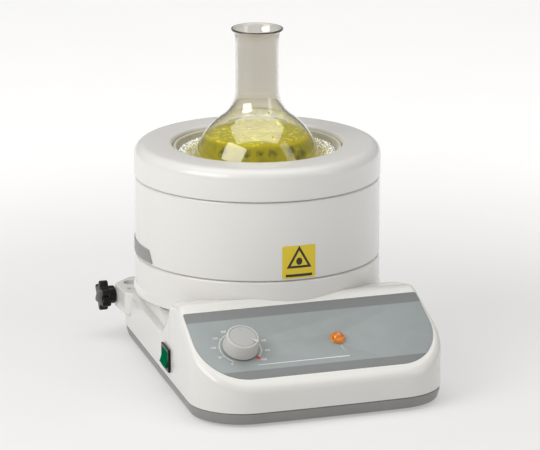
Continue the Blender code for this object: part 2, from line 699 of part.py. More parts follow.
def flask_parts():
    outer = flask_outer()
    flare = FLASK_TOP_Z - 0.0100
    lip = [(FLASK_NECK_R, flare), (0.0182, 0.2740), (0.0196, 0.2774), (0.0209, 0.2788)]
    lip += [(FLASK_RIM_R, 0.2798), (0.0209, FLASK_TOP_Z), (0.0196, 0.2803), (0.0178, 0.2774)]
    lip += [(FLASK_NECK_R - FLASK_WALL, flare)]
    inner = flask_outer(FLASK_WALL)
    profile = inner + lip[::-1] + outer[::-1]
    profile[0], profile[-1] = (0, inner[0][1]), (0, outer[0][1])
    turned("flask", profile, "borosilicate", steps=FLASK_STEPS)
    radius = BULB_R - FLASK_WALL - GAP
    level = math.degrees(math.asin((LIQUID_Z - BULB_Z) / radius))
    liquid = arc((0, BULB_Z), radius, level, -90, 9)
    liquid[-1] = (0, BULB_Z - radius)
    turned("flask_liquid", [(0, LIQUID_Z)] + liquid, "yellow_liquid", steps=FLASK_STEPS)


# ---------------------------------------------------------------- rod clamp


def clamp_shape(name, grow, low, high, look=None):
    """The clamp's block seen from above, grown on every side, from low to high."""
    out, inside = CLAMP_OUT_X - grow, CLAMP_IN_X + grow
    front, rear = CLAMP_FRONT_Y - grow, CLAMP_REAR_Y + grow
    corners = [(out, front), (inside - 0.0160, front), (inside, front + 0.0230)]
    corners += [(inside, rear), (inside - 0.0140, rear), (out, rear - 0.0160)]
    radii = [0.0120, 0.0010, 0.0010, 0.0010, 0.0080, 0.0080]
    return prism(name, rounded(corners, radii, math.radians(20)), low, high, look)


def rod_clamp():
    body = clamp_shape("rod_clamp", 0, CLAMP_LOW_Z, CLAMP_TOP_Z, "white_abs")
    bevel(body, 0.0012, 2, 50)
    rod = Matrix.Translation((ROD_X, ROD_Y, 0))
    combine(body, cylinder("rod_hole", ROD_R, ROD_FLOOR_Z, CLAMP_TOP_Z + 0.004, frame=rod))
    bore, out, frame = SHAFT_R + GAP, -CLAMP_OUT_X, clamp_frame()
    nut_low, nut_high = out - 0.0031, out - 0.0002
    combine(body, cylinder("screw_bore", bore, -ROD_X, out + 0.004, frame=frame, steps=20))
    combine(body, cylinder("nut_seat", NUT_R + GAP, nut_low - GAP, out + 0.004, frame=frame))
    nut = [(NUT_R, nut_high), (NUT_R, nut_low), (bore, nut_low), (bore, nut_high)]
    turned("clamp_nut", nut, "brass", frame, 24, ring=True)

    tip, pad_r = -(ROD_X - ROD_R) - PAD_PROUD, SHAFT_R - 0.0001
    pad_end = tip + 0.0030
    pad = [(0, pad_end), (pad_r, pad_end), (pad_r, tip + 0.0006), (pad_r - 0.0007, tip), (0, tip)]
    turned("clamp_pad", pad, "brass", frame, 20)
    hub_low = out + 0.0006
    star_low = hub_low + HUB_LONG
    star_high = star_low + STAR_THICK
    screw_end = star_low + 0.0040
    turned("clamp_screw", pin(SHAFT_R, pad_end + GAP, screw_end), "steel", frame, 20)
    star = prism("clamp_star_knob", star_outline(), star_low, star_high, "black_plastic", frame)
    bevel(star, 0.0012, 2, 60)
    hub = cylinder("star_hub", HUB_R, hub_low, star_low + 0.001, frame=frame, steps=28)
    combine(star, hub, "UNION")
    combine(star, cylinder("star_bore", bore, hub_low - 0.002, screw_end + GAP, frame=frame, steps=20))


# ---------------------------------------------------------------- electrics


def inlet_frame():
    """On the rear wall: local Z points back, X to the left seen from behind, Y up."""
    return Matrix.Translation((INLET_X, BASE_REAR_Y, CONNECTOR_Z)) @ Matrix(
        ((-1, 0, 0, 0), (0, 0, 1, 0), (0, 1, 0, 0), (0, 0, 0, 1))
    )


def fuse_frame():
    return inlet_frame() @ Matrix.Translation((FUSE_PITCH, 0, 0))


def rear_connectors():
    frame = inlet_frame()
    flange_w, flange_h, front = 0.0158, 0.0123, 0.0024
    inlet = box(
        "mains_inlet", (-flange_w, -flange_h, GAP), (flange_w, flange_h, front), "black_plastic", frame
    )
    bevel(inlet, 0.0008, 1)
    combine(inlet, slot("inlet_barrel", 0.0134, 0.0099, -0.0180, 0.0010, frame), "UNION")
    wide, narrow, tall, step = 0.0118, 0.0068, 0.0080, 0.0020
    socket = [(-wide, -tall), (wide, -tall), (wide, step)]
    socket += [(narrow, tall), (-narrow, tall), (-wide, step)]
    combine(inlet, prism("inlet_socket", socket, -0.0150, 0.006, frame=frame))
    for i, (x, y) in enumerate(((-0.0070, -0.0020), (0, 0.0020), (0.0070, -0.0020))):
        near, far = (x - 0.0010, y - 0.0020, -0.0160), (x + 0.0010, y + 0.0020, -0.0030)
        combine(inlet, box(f"inlet_blade_{i}", near, far, frame=frame), "UNION")

    frame = fuse_frame()
    rim, barrel, bore, end, seat = 0.0080, 0.0060, 0.0046, -0.0260, -0.0100
    holder = [(rim, 0.0020), (rim, GAP), (barrel, GAP), (barrel, end), (0, end)]
    holder += [(0, seat), (bore, seat), (bore, 0.0020)]
    turned("fuse_holder", holder + holder[:1], "black_plastic", frame, 20)
    head, stem, under = 0.0068, 0.0043, 0.0023
    profile = [(0, 0.0040), (head - 0.0006, 0.0040), (head, 0.0032), (head, under)]
    profile += [(stem, under), (stem, -0.0090), (0, -0.0090)]
    cap = turned("fuse_cap", profile, "black_plastic", frame, 20)
    combine(cap, box("fuse_slot", (-0.0045, -0.0006, 0.0028), (0.0045, 0.0006, 0.006), frame=frame))


def board_posts():
    return [(x, y) for x in (-0.0280, 0.0480) for y in (-0.1380, -0.0980)]


def electronics():
    thick, buried = 0.0016, BOARD_Z + 0.0010
    near, far = (-0.0330, -0.1430, BOARD_Z), (0.0530, -0.0930, BOARD_Z + thick)
    board = box("control_board", near, far, "circuit_green")
    choke = box("choke", (-0.0250, -0.1250, buried), (-0.0070, -0.1070, 0.0283))
    relay = box("relay", (0.0000, -0.1300, buried), (0.0180, -0.1150, 0.0293))
    combine(board, choke, "UNION")
    combine(board, relay, "UNION")

    fins, pitch, back, depth = 6, 0.0030, 0.0025, 0.0120
    outline = [(0, 0), (fins * pitch, 0)]
    for k in reversed(range(fins)):
        left, middle = k * pitch, (k + 0.5) * pitch
        outline += [(left + pitch, depth), (middle, depth), (middle, back)]
        outline += [(left, back)] if k else []
    outline += [(0, back)]
    place = Matrix.Translation((0.0270, -0.1330, BOARD_Z + thick + GAP))
    prism("heat_sink", outline, 0, 0.0180, "aluminium", place)

    floor = FOOT_PROUD + TRAY_FLOOR + GAP
    top = floor + 0.0140
    block = box("terminal_block", (-0.0220, 0.0100, floor), (0.0220, 0.0280, top), "black_plastic")
    for k in range(4):
        place = Matrix.Translation((-0.0165 + 0.0110 * k, 0.0190, 0))
        combine(block, hole(f"terminal_{k}", 0.0034, top - 0.0040, top + 0.006, place))
    heater_lead("heater_lead_left", -1, top + GAP)
    heater_lead("heater_lead_right", 1, top + GAP)


def heater_lead(name, side, end_z):
    """A sleeved wire from under the nest down to the terminal block."""
    curve = bpy.data.curves.new(name, "CURVE")
    curve.dimensions = "3D"
    curve.bevel_depth = 0.0015
    curve.bevel_resolution = 2
    curve.use_fill_caps = True
    high, low, reach = 0.1015, end_z, 0.0190
    spline = curve.splines.new("POLY")
    count = 12
    spline.points.add(count - 1)
    for k, point in enumerate(spline.points):
        part = k / (count - 1)
        ease = part * part * (3 - 2 * part)
        point.co = (side * (0.0060 - 0.0005 * ease), reach * ease, high + (low - high) * part, 1)
    obj = bpy.data.objects.new(name, curve)
    curve.materials.append(material("glass_cloth"))
    PARTS.objects.link(obj)


def main():
    clear_scene()
    make_collections()
    base_cover()
    base_tray()
    feet_and_screws()
    panel_overlay()
    dial()
    pilot_lamp()
    power_switch()
    drum()
    nest_parts()
    labels()
    flask_parts()
    rod_clamp()
    rear_connectors()
    electronics()


main()
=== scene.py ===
"""Looks of the heating mantle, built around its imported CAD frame. Metres, +Z up."""

import json
import random
from math import asin, atan2, ceil, copysign, cos, degrees, floor, pi, radians, sin, sqrt, tan

import bmesh
import bpy
from mathutils import Matrix, Vector, noise

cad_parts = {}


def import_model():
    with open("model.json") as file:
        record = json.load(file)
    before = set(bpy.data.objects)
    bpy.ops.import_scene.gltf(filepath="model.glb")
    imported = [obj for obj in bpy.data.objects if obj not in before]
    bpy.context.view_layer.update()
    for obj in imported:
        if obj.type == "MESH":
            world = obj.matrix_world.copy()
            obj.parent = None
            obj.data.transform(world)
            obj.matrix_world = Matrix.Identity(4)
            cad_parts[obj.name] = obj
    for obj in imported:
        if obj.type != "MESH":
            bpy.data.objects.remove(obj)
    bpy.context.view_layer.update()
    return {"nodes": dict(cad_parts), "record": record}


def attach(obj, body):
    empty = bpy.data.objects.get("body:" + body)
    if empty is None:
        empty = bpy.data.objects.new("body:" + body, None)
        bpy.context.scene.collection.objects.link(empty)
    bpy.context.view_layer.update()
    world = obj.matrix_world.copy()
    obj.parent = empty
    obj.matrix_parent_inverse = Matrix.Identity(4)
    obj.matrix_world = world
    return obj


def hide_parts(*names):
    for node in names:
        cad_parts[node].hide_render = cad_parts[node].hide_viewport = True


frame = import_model()
RANDOM = random.Random(7)
SHARP_ANGLE, DRUM_STEPS, GLASS_STEPS, NEST_STEPS = 38, 192, 160, 624

# ---- sizes, as in the CAD
BASE_FRONT_Y, BASE_FRONT_BOW, BASE_REAR_Y = -0.1810, 0.0024, 0.1280
BASE_FRONT_HALF, BASE_TAPER = 0.1100, radians(5.5)
FRONT_CORNER_R, REAR_CORNER_R = 0.044, 0.040
WALL, GAP = 0.003, 0.0003
TRAY_TOP_Z, TRAY_LOW_Z, TRAY_FLOOR_Z, TRAY_SLANT = 0.0115, 0.0020, 0.0045, 0.0026
COVER_BOTTOM_Z, DECK_Z, DECK_END_Y = 0.0118, 0.0450, -0.0385
COVE_Y, COVE_Z = -0.0650, 0.0650
SHOULDER_Y, SHOULDER_Z = -0.0680, 0.0762
RIDGE_Y, RIDGE_Z = -0.0950, 0.0804
CONSOLE_EDGE_R, DECK_EDGE_R = 0.0055, 0.0045
PANEL_TOP_Y, PANEL_TOP_Z, PANEL_TILT = -0.1033, 0.0756, radians(29.94)
PANEL_SIN, PANEL_COS = sin(PANEL_TILT), cos(PANEL_TILT)
PANEL_LENGTH, PANEL_TOP_HALF, PANEL_LOW_HALF = 0.0768, 0.0993, 0.1016
TOP_BAND_U, LOW_BAND_U, BAND_EDGE, BAND_GREY = 0.0103, 0.0674, 0.0004, (0.205, 0.219, 0.220)
PANEL_CORNER_R, PANEL_TOP_CORNER_R, PANEL_RECESS, PANEL_THICK = 0.0375, 0.0015, 0.0008, 0.0005
DIAL_X, DIAL_U, DIAL_H = -0.0639, 0.0420, 0.0130
DIAL_R, DIAL_TOP_R, DIAL_CAP_R, DIAL_HOLE_R = 0.0145, 0.0128, 0.0110, 0.0050
LAMP_X, LAMP_U, LAMP_R, LAMP_HOLE_R = 0.0183, 0.0420, 0.0059, 0.0052
SWITCH_Y, SWITCH_Z, SWITCH_W, SWITCH_H = -0.0595, 0.0280, 0.0260, 0.0195
ROCKER_W, ROCKER_H, ROCKER_TILT = 0.0196, 0.0128, radians(9.0)
DRUM_R, LIP_R, LIP_Z = 0.1004, 0.1019, 0.0630
LOW_GROOVE_Z, TOP_GROOVE_Z, GROOVE_HALF = 0.0940, 0.1594, 0.0006
SHELL_IN_R, SPIGOT_R, SPIGOT_IN_R = 0.0983, 0.0980, 0.0958
RING_R, RING_TOP_Z, RING_EDGE_R, MOUTH_R = 0.1010, 0.1858, 0.0090, 0.0695
PEDESTAL_LOW_R, PEDESTAL_R, PEDESTAL_Z = 0.0970, 0.0910, 0.0570
NECK_R, NECK_Z = 0.0840, 0.0627
BULB_R, BULB_Z, FLASK_NECK_R, FLASK_TOP_Z = 0.0525, 0.1636, 0.0178, 0.2807
FLASK_FILLET_R, FLASK_WALL, FLASK_RIM_R, LIQUID_Z = 0.0270, 0.0020, 0.0213, 0.1923
NEST_IN_R, NEST_OUT_R, COLLAR_TOP_Z, COLLAR_IN_R = 0.0530, 0.0600, 0.1828, 0.0662
CLAMP_OUT_X, CLAMP_IN_X, CLAMP_FRONT_Y, CLAMP_REAR_Y = -0.0885, -0.0560, 0.0730, 0.1285
CLAMP_LOW_Z, CLAMP_TOP_Z = 0.0250, 0.0440
ROD_X, ROD_Y, ROD_R, ROD_FLOOR_Z, SCREW_Z = -0.0740, 0.1110, 0.0063, 0.0275, 0.0350
STAR_R, STAR_LOBE, STAR_LOBES, STAR_THICK = 0.0107, 0.0021, 6, 0.0075
HUB_R, HUB_LONG, SHAFT_R = 0.0076, 0.0056, 0.0030


# ---- materials


def add_node(tree, kind, **inputs):
    """A node with some of its sockets set."""
    made = tree.nodes.new(kind)
    for key, value in inputs.items():
        made.inputs[key.replace("_", " ")].default_value = value
    return made


def mapped(tree, value, from_low, from_high, to_low=0.0, to_high=1.0, smooth=False):
    """A value carried from one range to another and held at its ends."""
    made = add_node(tree, "ShaderNodeMapRange", From_Min=from_low, From_Max=from_high,
                    To_Min=to_low, To_Max=to_high)
    if smooth:
        made.interpolation_type = "SMOOTHSTEP"
    tree.links.new(value, made.inputs["Value"])
    return made.outputs["Result"]


def shade(colour, factor):
    return tuple(min(1.0, c * factor) for c in colour)


class Look:
    """A Principled material whose colour, roughness and bump are worked from object space."""

    def __init__(self, name, **constants):
        self.material = bpy.data.materials.new(name)
        self.material.use_nodes = True
        self.tree = self.material.node_tree
        self.link = self.tree.links.new
        self.shader = self.tree.nodes["Principled BSDF"]
        self.coords = self.node("ShaderNodeTexCoord").outputs["Object"]
        for key, value in constants.items():
            self.shader.inputs[key.replace("_", " ")].default_value = value

    def node(self, kind, **inputs):
        return add_node(self.tree, kind, **inputs)

    def feed(self, socket, value):
        self.link(value, self.shader.inputs[socket])

    def noise(self, scale, detail=3.0, coords=None):
        made = self.node("ShaderNodeTexNoise", Scale=scale, Detail=detail, Roughness=0.55)
        self.link(self.coords if coords is None else coords, made.inputs["Vector"])
        return made.outputs["Fac"]

    def mapped(self, value, *ranges, smooth=False):
        return mapped(self.tree, value, *ranges, smooth=smooth)

    def patches(self, scale, detail=3.0, low=0.3, high=0.7):
        """Noise spread from 0 to 1 between two of its values."""
        return self.mapped(self.noise(scale, detail), low, high)

    def mixed(self, factor, first, second):
        made = self.node("ShaderNodeMix")
        made.data_type = "RGBA"
        self.link(factor, made.inputs["Factor"])
        for socket, value in ((made.inputs["A"], first), (made.inputs["B"], second)):
            if isinstance(value, tuple):
                socket.default_value = (*value, 1)
            else:
                self.link(value, socket)
        return made.outputs["Result"]

    def vector_math(self, operation, source, factor=None, output="Vector"):
        made = self.node("ShaderNodeVectorMath")
        made.operation = operation
        self.link(source, made.inputs[0])
        if factor is not None:
            made.inputs[1].default_value = factor
        return made.outputs[output]

    def height_fade(self, low, high):
        """0 below one height and 1 above another, smoothly."""
        parts = self.node("ShaderNodeSeparateXYZ")
        self.link(self.coords, parts.inputs["Vector"])
        return self.mapped(parts.outputs["Z"], low, high, smooth=True)

    def axis_distance(self):
        """Distance from the drum's axis."""
        flat = self.vector_math("MULTIPLY", self.coords, (1, 1, 0))
        return self.vector_math("LENGTH", flat, output="Value")

    def colour(self, dark, light, scale, detail=3.0):
        """Colour drifting between two close shades."""
        out = self.mixed(self.patches(scale, detail), dark, light)
        self.feed("Base Color", out)
        return out

    def roughness(self, low, high, scale):
        self.feed("Roughness", self.mapped(self.noise(scale, 4.0), 0.3, 0.7, low, high))

    def bump(self, height, strength, distance):
        made = self.node("ShaderNodeBump", Strength=strength, Distance=distance)
        self.link(height, made.inputs["Height"])
        self.feed("Normal", made.outputs["Normal"])

    def grain(self, scale, strength, distance=0.0002, detail=2.0):
        self.bump(self.noise(scale, detail), strength, distance)


def moulded(name, colour, rough, drift=0.03, grain=0.05, grain_scale=1800, coat=0.0, coat_rough=0.1,
            spread=0.15, gloss=0.5):
    """Moulded plastic, or print on it."""
    look = Look(name, Coat_Weight=coat, Coat_Roughness=coat_rough, Specular_IOR_Level=gloss)
    look.colour(shade(colour, 1 - drift), shade(colour, 1 + drift), 28)
    look.roughness(rough * (1 - spread), rough * (1 + spread), 45)
    look.grain(grain_scale, grain)
    return look.material


def metal(name, colour, rough):
    """Metal brushed across its height."""
    look = Look(name, Metallic=1.0)
    scaled = look.node("ShaderNodeMapping", Scale=(60, 60, 2500))
    look.link(look.coords, scaled.inputs["Vector"])
    brushed = look.noise(1.0, 5.0, scaled.outputs["Vector"])
    streaks = look.mapped(brushed, 0.3, 0.7)
    look.feed("Base Color", look.mixed(streaks, shade(colour, 0.86), shade(colour, 1.08)))
    look.feed("Roughness", look.mapped(brushed, 0.3, 0.7, rough * 0.7, rough * 1.4))
    look.bump(brushed, 0.15, 0.0001)
    return look.material


def panel_look():
    """Blue-grey film with a darker band along its top and bottom edges."""
    look = Look("panel_film", Coat_Weight=0.05, Coat_Roughness=0.5)
    field = look.colour((0.296, 0.330, 0.332), (0.316, 0.350, 0.350), 60)
    top, low = (
        look.height_fade(PANEL_TOP_Z - (u + BAND_EDGE) * PANEL_SIN, PANEL_TOP_Z - u * PANEL_SIN)
        for u in (TOP_BAND_U, LOW_BAND_U))
    look.feed("Base Color", look.mixed(low, BAND_GREY, look.mixed(top, field, BAND_GREY)))
    look.roughness(0.48, 0.58, 80)
    look.grain(2600, 0.10, 0.0001)
    return look.material


def cloth_look():
    """Glass cloth: white glassy strands that sparkle, with a yellow cast beside the liquid. Bright
    specks are painted highlights given off as emission, and the whole cloth glows faintly as
    painted light.
    """
    look = Look("glass_cloth", Sheen_Weight=0.3, Sheen_Roughness=0.4, Specular_IOR_Level=0.8,
                Emission_Strength=0.55)
    speck = look.node("ShaderNodeTexVoronoi", Scale=900)
    look.link(look.coords, speck.inputs["Vector"])
    white = look.mixed(look.patches(760, 3.0, 0.44, 0.56), (0.30, 0.29, 0.22), (1.0, 1.0, 0.97))
    near = look.mapped(look.axis_distance(), 0.0530, 0.0615, 1, 0)
    cast = look.node("ShaderNodeMath")
    cast.operation = "MULTIPLY"
    look.link(look.patches(260, 3.0, 0.36, 0.50), cast.inputs[0])
    look.link(near, cast.inputs[1])
    look.feed("Base Color", look.mixed(cast.outputs["Value"], white, (0.78, 0.70, 0.05)))
    # Painted highlights: specks of the cloth glow white as emission.
    painted_glint = look.patches(760, 3.0, 0.53, 0.60)
    look.feed("Emission Color", look.mixed(painted_glint, (0.04, 0.04, 0.03), (1.0, 1.0, 0.98)))
    look.feed("Roughness", look.mapped(speck.outputs["Distance"], 0.1, 0.6, 0.18, 0.75))
    look.bump(look.noise(1500, 4.0), 0.8, 0.0004)
    return look.material


def glass_look():
    """Clear glass, darkened to a warm grey in the neck as painted shade, and tinted yellow up to a
    little above the liquid as painted light from the liquid.
    """
    look = Look("borosilicate", Transmission_Weight=1.0, IOR=1.47, Roughness=0.0,
                Specular_IOR_Level=1.0, Coat_Weight=1.0, Coat_IOR=1.6, Coat_Roughness=0.0)
    clear = look.mixed(look.patches(40, 2.0), (0.965, 0.955, 0.86), (0.985, 0.98, 0.93))
    # Painted light: a yellow tint that fades out a little above the liquid, for light through the
    # liquid.
    painted_caustic_fade = look.height_fade(LIQUID_Z - 0.002, LIQUID_Z + 0.012)
    # Painted shade: the neck darkened to a warm grey.
    neck = look.height_fade(0.2020, 0.2320)
    low = look.mixed(painted_caustic_fade, (0.96, 0.93, 0.62), clear)
    look.feed("Base Color", look.mixed(neck, low, (0.665, 0.640, 0.585)))
    look.grain(90, 0.02, 0.0003, 1.0)
    return look.material


# Dark flecks of the liquid: degrees round the bulb from the front, height, radius.
LIQUID_FLECKS = (
    (-57, 0.1865, 0.0042), (-30, 0.1868, 0.0036), (-17, 0.1868, 0.0036), (-4, 0.1866, 0.0040),
    (18, 0.1875, 0.0046), (31, 0.1832, 0.0050), (24, 0.1815, 0.0040),
)
FLECK_WARP = (0.004, 0.004, 0.009)


def liquid_look():
    """Yellow solution, a little cloudy, with soft dark flecks low down at the front. Its body is
    painted darker than its top few millimetres as painted shade, and it glows as emission, with
    painted highlights streaked over its surface.
    """
    look = Look("yellow_liquid", Transmission_Weight=0.30, IOR=1.33, Roughness=0.04,
                Specular_IOR_Level=0.2, Emission_Strength=0.55)
    bright = look.mixed(look.patches(55, 4.0, 0.35, 0.65), (0.82, 0.72, 0.002), (0.98, 0.93, 0.02))
    top = look.mixed(look.patches(170, 4.0, 0.60, 0.72), bright, (0.55, 0.52, 0.01))
    # Painted shade: the body below the surface is darker than the top.
    painted_shade_body = look.mixed(look.patches(95, 4.0, 0.38, 0.62), (0.42, 0.42, 0.006), (0.66, 0.60, 0.006))
    out = look.mixed(look.height_fade(LIQUID_Z - 0.0035, LIQUID_Z - 0.0005), painted_shade_body, top)
    # Painted light: the liquid glows faintly, and streaks of painted highlight glow on its surface.
    painted_surface_highlight = look.mixed(look.patches(210, 5.0, 0.56, 0.66), (0.22, 0.19, 0.0), (1.0, 0.92, 0.18))
    surface = look.height_fade(LIQUID_Z - 0.0012, LIQUID_Z - 0.0002)
    look.feed("Emission Color", look.mixed(surface, (0.16, 0.13, 0.0), painted_surface_highlight))
    wander = look.node("ShaderNodeTexNoise", Scale=240)
    look.link(look.coords, wander.inputs["Vector"])
    shifted = look.node("ShaderNodeVectorMath")
    shifted.operation = "MULTIPLY_ADD"
    shifted.inputs[1].default_value = FLECK_WARP
    look.link(wander.outputs["Color"], shifted.inputs[0])
    look.link(look.coords, shifted.inputs[2])
    for angle, height, radius in LIQUID_FLECKS:
        turn = radians(angle)
        reach = BULB_R * cos(asin((height - BULB_Z) / BULB_R))
        centre = Vector((reach * sin(turn), -reach * cos(turn), height)) + Vector(FLECK_WARP) / 2
        away = look.vector_math("DISTANCE", shifted.outputs["Vector"], centre, "Value")
        spot = look.mapped(away, radius * 0.5, radius * 1.25)
        out = look.mixed(spot, (0.020, 0.055, 0.006), out)
    look.feed("Base Color", out)
    look.grain(260, 0.35, 0.0012, 3.0)
    return look.material


def glowing(name, colour, glow, strength, rough, transmission, coat, gloss=0.5):
    """A coloured lens that gives off a little light."""
    look = Look(name, Specular_IOR_Level=gloss, Transmission_Weight=transmission, IOR=1.5,
                Emission_Strength=strength, Emission_Color=(*glow, 1), Coat_Weight=coat,
                Coat_Roughness=0.05)
    look.colour(shade(colour, 0.75), shade(colour, 1.15), 420)
    look.roughness(rough * 0.7, rough * 1.3, 200)
    look.grain(900, 0.08)
    return look.material


def speckled(name, base, speck, scale, rough, strength):
    """A rough material of two mingled colours."""
    look = Look(name)
    look.feed("Base Color", look.mixed(look.patches(scale, 4.0, 0.45, 0.65), base, speck))
    look.roughness(rough * 0.8, min(1.0, rough * 1.15), 120)
    look.grain(scale, strength, 0.0003)
    return look.material


# Colour, roughness, colour drift, grain and its scale, coat and its roughness, spread, gloss.
MOULDED = {
    "white_abs": ((0.735, 0.726, 0.702), 0.26, 0.002, 0.008, 260, 0.30, 0.08, 0.02),
    "grey_abs": ((0.262, 0.260, 0.252), 0.42, 0.04, 0.14, 2200),
    "knob_white": ((0.56, 0.555, 0.53), 0.32, 0.02, 0.05),
    "cap_grey": ((0.40, 0.405, 0.40), 0.36, 0.02, 0.05),
    "black_plastic": ((0.008, 0.0065, 0.006), 0.20, 0.2, 0.10, 900, 0.0, 0.1, 0.15, 0.22),
    "cream_collar": ((0.60, 0.57, 0.46), 0.5, 0.04, 0.12, 1200),
    "yellow_label": ((0.74, 0.56, 0.015), 0.38, 0.04, 0.04),
    "badge_grey": ((0.30, 0.295, 0.29), 0.40, 0.04, 0.08),
    "print_white": ((0.80, 0.81, 0.80), 0.5, 0.02, 0.03),
    "print_red": ((0.62, 0.055, 0.045), 0.5, 0.05, 0.03),
    "print_black": ((0.020, 0.019, 0.016), 0.5, 0.1, 0.03),
}
# Colour, roughness.
METALS = {
    "aluminium": ((0.78, 0.78, 0.79), 0.34),
    "steel": ((0.58, 0.58, 0.60), 0.28),
    "brass": ((0.72, 0.52, 0.20), 0.28),
}
# Two colours, scale, roughness, grain.
SPECKLED = {
    "glass_wool": ((0.62, 0.54, 0.30), (0.86, 0.80, 0.58), 700, 0.95, 0.9),
    "rubber": ((0.018, 0.018, 0.018), (0.035, 0.034, 0.033), 900, 0.85, 0.4),
    "circuit_green": ((0.02, 0.16, 0.06), (0.05, 0.25, 0.10), 500, 0.45, 0.2),
}
# Colour, glow and its strength, roughness, transmission, coat, gloss.
LENSES = {
    "green_lens": ((0.0, 0.115, 0.045), (0.0, 0.30, 0.10), 0.06, 0.10, 0.0, 0.0, 0.0),
    "amber_lens": ((0.80, 0.24, 0.008), (0.85, 0.30, 0.0), 0.10, 0.05, 0.55, 0.5),
}
LOOKS = {
    "panel_grey": panel_look(),
    "glass_cloth": cloth_look(),
    "borosilicate": glass_look(),
    "yellow_liquid": liquid_look(),
}
for build, table in ((moulded, MOULDED), (metal, METALS), (speckled, SPECKLED), (glowing, LENSES)):
    LOOKS.update({name: build(name, *values) for name, values in table.items()})


# ---- mesh helpers


def rounded(corners, radii, step, closed=True):
    """The corners of an outline, with each one of a given radius turned into an arc."""
    count = len(corners)
    points = []
    for i, (corner, radius) in enumerate(zip(corners, radii)):
        here = Vector(corner)
        if radius == 0 or (not closed and i in (0, count - 1)):
            points.append(here)
            continue
        back = (Vector(corners[i - 1]) - here).normalized()
        ahead = (Vector(corners[(i + 1) % count]) - here).normalized()
        opening = back.angle(ahead)
        reach = radius / tan(opening / 2)
        centre = here + (back + ahead).normalized() * (radius / sin(opening / 2))
        start, end = here + back * reach - centre, here + ahead * reach - centre
        turn = start.angle_signed(end)
        steps = max(1, ceil(abs(turn) / step))
        for k in range(steps + 1):
            points.append(centre + Matrix.Rotation(-turn * k / steps, 2) @ start)
    return points


def arc(centre, radius, start, end, steps):
    """Points round a centre, between two angles in degrees."""
    turns = [radians(start + (end - start) * k / steps) for k in range(steps + 1)]
    return [(centre[0] + radius * cos(t), centre[1] + radius * sin(t)) for t in turns]


def placed(name, data):
    """A new object in the scene."""
    obj = bpy.data.objects.new(name, data)
    bpy.context.scene.collection.objects.link(obj)
    return obj


def soften(mesh, smooth=SHARP_ANGLE):
    """Smooth shading, but sharp where faces meet at more than an angle."""
    mesh.shade_smooth()
    mesh.set_sharp_from_angle(angle=radians(smooth))


def write_back(bm, mesh):
    bm.to_mesh(mesh)
    bm.free()


def make(name, verts, faces, place=None, smooth=SHARP_ANGLE):
    """A mesh object with its place worked into its vertices."""
    mesh = bpy.data.meshes.new(name)
    mesh.from_pydata([tuple(v) for v in verts], [], faces)
    if place:
        mesh.transform(place)
    bm = bmesh.new()
    bm.from_mesh(mesh)
    bmesh.ops.recalc_face_normals(bm, faces=bm.faces)
    write_back(bm, mesh)
    soften(mesh, smooth)
    return placed(name, mesh)


def piece(obj, slot, body="mantle", nodes=(), look=None):
    """Dresses an object as a visible piece of a body, standing for CAD nodes."""
    obj.data.materials.clear()
    obj.data.materials.append(LOOKS[look or slot])
    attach(obj, body)
    if nodes:
        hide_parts(*nodes)
    return obj


def evaluated_mesh(obj):
    """A copy of an object's mesh as its modifiers or curve leave it."""
    bpy.context.view_layer.update()
    graph = bpy.context.evaluated_depsgraph_get()
    return bpy.data.meshes.new_from_object(obj.evaluated_get(graph))


def settle(obj):
    """Works an object's modifiers into its mesh."""
    mesh = evaluated_mesh(obj)
    obj.modifiers.clear()
    obj.data = mesh
    soften(mesh)
    return obj


def cut(obj, *cutters, operation="DIFFERENCE"):
    for cutter in cutters:
        modifier = obj.modifiers.new("cut", "BOOLEAN")
        modifier.operation = operation
        modifier.solver = "EXACT"
        modifier.object = cutter
    settle(obj)
    for cutter in cutters:
        bpy.data.objects.remove(cutter)
    return obj


def add_bevel(obj, width, segments, angle):
    modifier = obj.modifiers.new("edges", "BEVEL")
    modifier.width, modifier.segments = width, segments
    modifier.limit_method, modifier.angle_limit = "ANGLE", radians(angle)


def bevel(obj, width, segments=3, angle=40):
    add_bevel(obj, width, segments, angle)
    return settle(obj)


def joined(name, parts):
    """Several objects as one mesh."""
    bm = bmesh.new()
    for part in parts:
        part.data.transform(part.matrix_world)
        bm.from_mesh(part.data)
        bpy.data.objects.remove(part)
    mesh = bpy.data.meshes.new(name)
    write_back(bm, mesh)
    soften(mesh)
    return placed(name, mesh)


def lathe(name, profile, steps=160, ring=False, place=None, shift=None, smooth=SHARP_ANGLE):
    """A profile of (radius, height) turned about Z. shift(radius, height, turn) moves a point."""
    verts, rows = [], []
    for radius, height in profile:
        if radius < 1e-7:
            rows.append([len(verts)] * steps)
            verts.append((0, 0, height))
            continue
        rows.append(range(len(verts), len(verts) + steps))
        for k in range(steps):
            turn = 2 * pi * k / steps
            r, z = shift(radius, height, turn) if shift else (radius, height)
            verts.append((r * cos(turn), r * sin(turn), z))
    faces = []
    for upper, lower in zip(rows, rows[1:] + rows[:1] if ring else rows[1:]):
        for k in range(steps):
            n = (k + 1) % steps
            face = list(dict.fromkeys((upper[k], lower[k], lower[n], upper[n])))
            if len(face) > 2:
                faces.append(face)
    return make(name, verts, faces, place, smooth)


def prism(name, outline, low, high, place=None):
    count = len(outline)
    verts = [(x, y, low) for x, y in outline] + [(x, y, high) for x, y in outline]
    faces = [tuple(range(count)), tuple(range(count, 2 * count))]
    faces += [(i, (i + 1) % count, (i + 1) % count + count, i + count) for i in range(count)]
    return make(name, verts, faces, place)


def rounded_rectangle(half_w, half_h, radius, step=radians(15)):
    corners = [(-half_w, -half_h), (half_w, -half_h), (half_w, half_h), (-half_w, half_h)]
    return rounded(corners, [radius] * 4, step)


def rounded_block(name, half_w, half_h, low, high, radius, place):
    return prism(name, rounded_rectangle(half_w, half_h, radius, radians(12)), low, high, place)


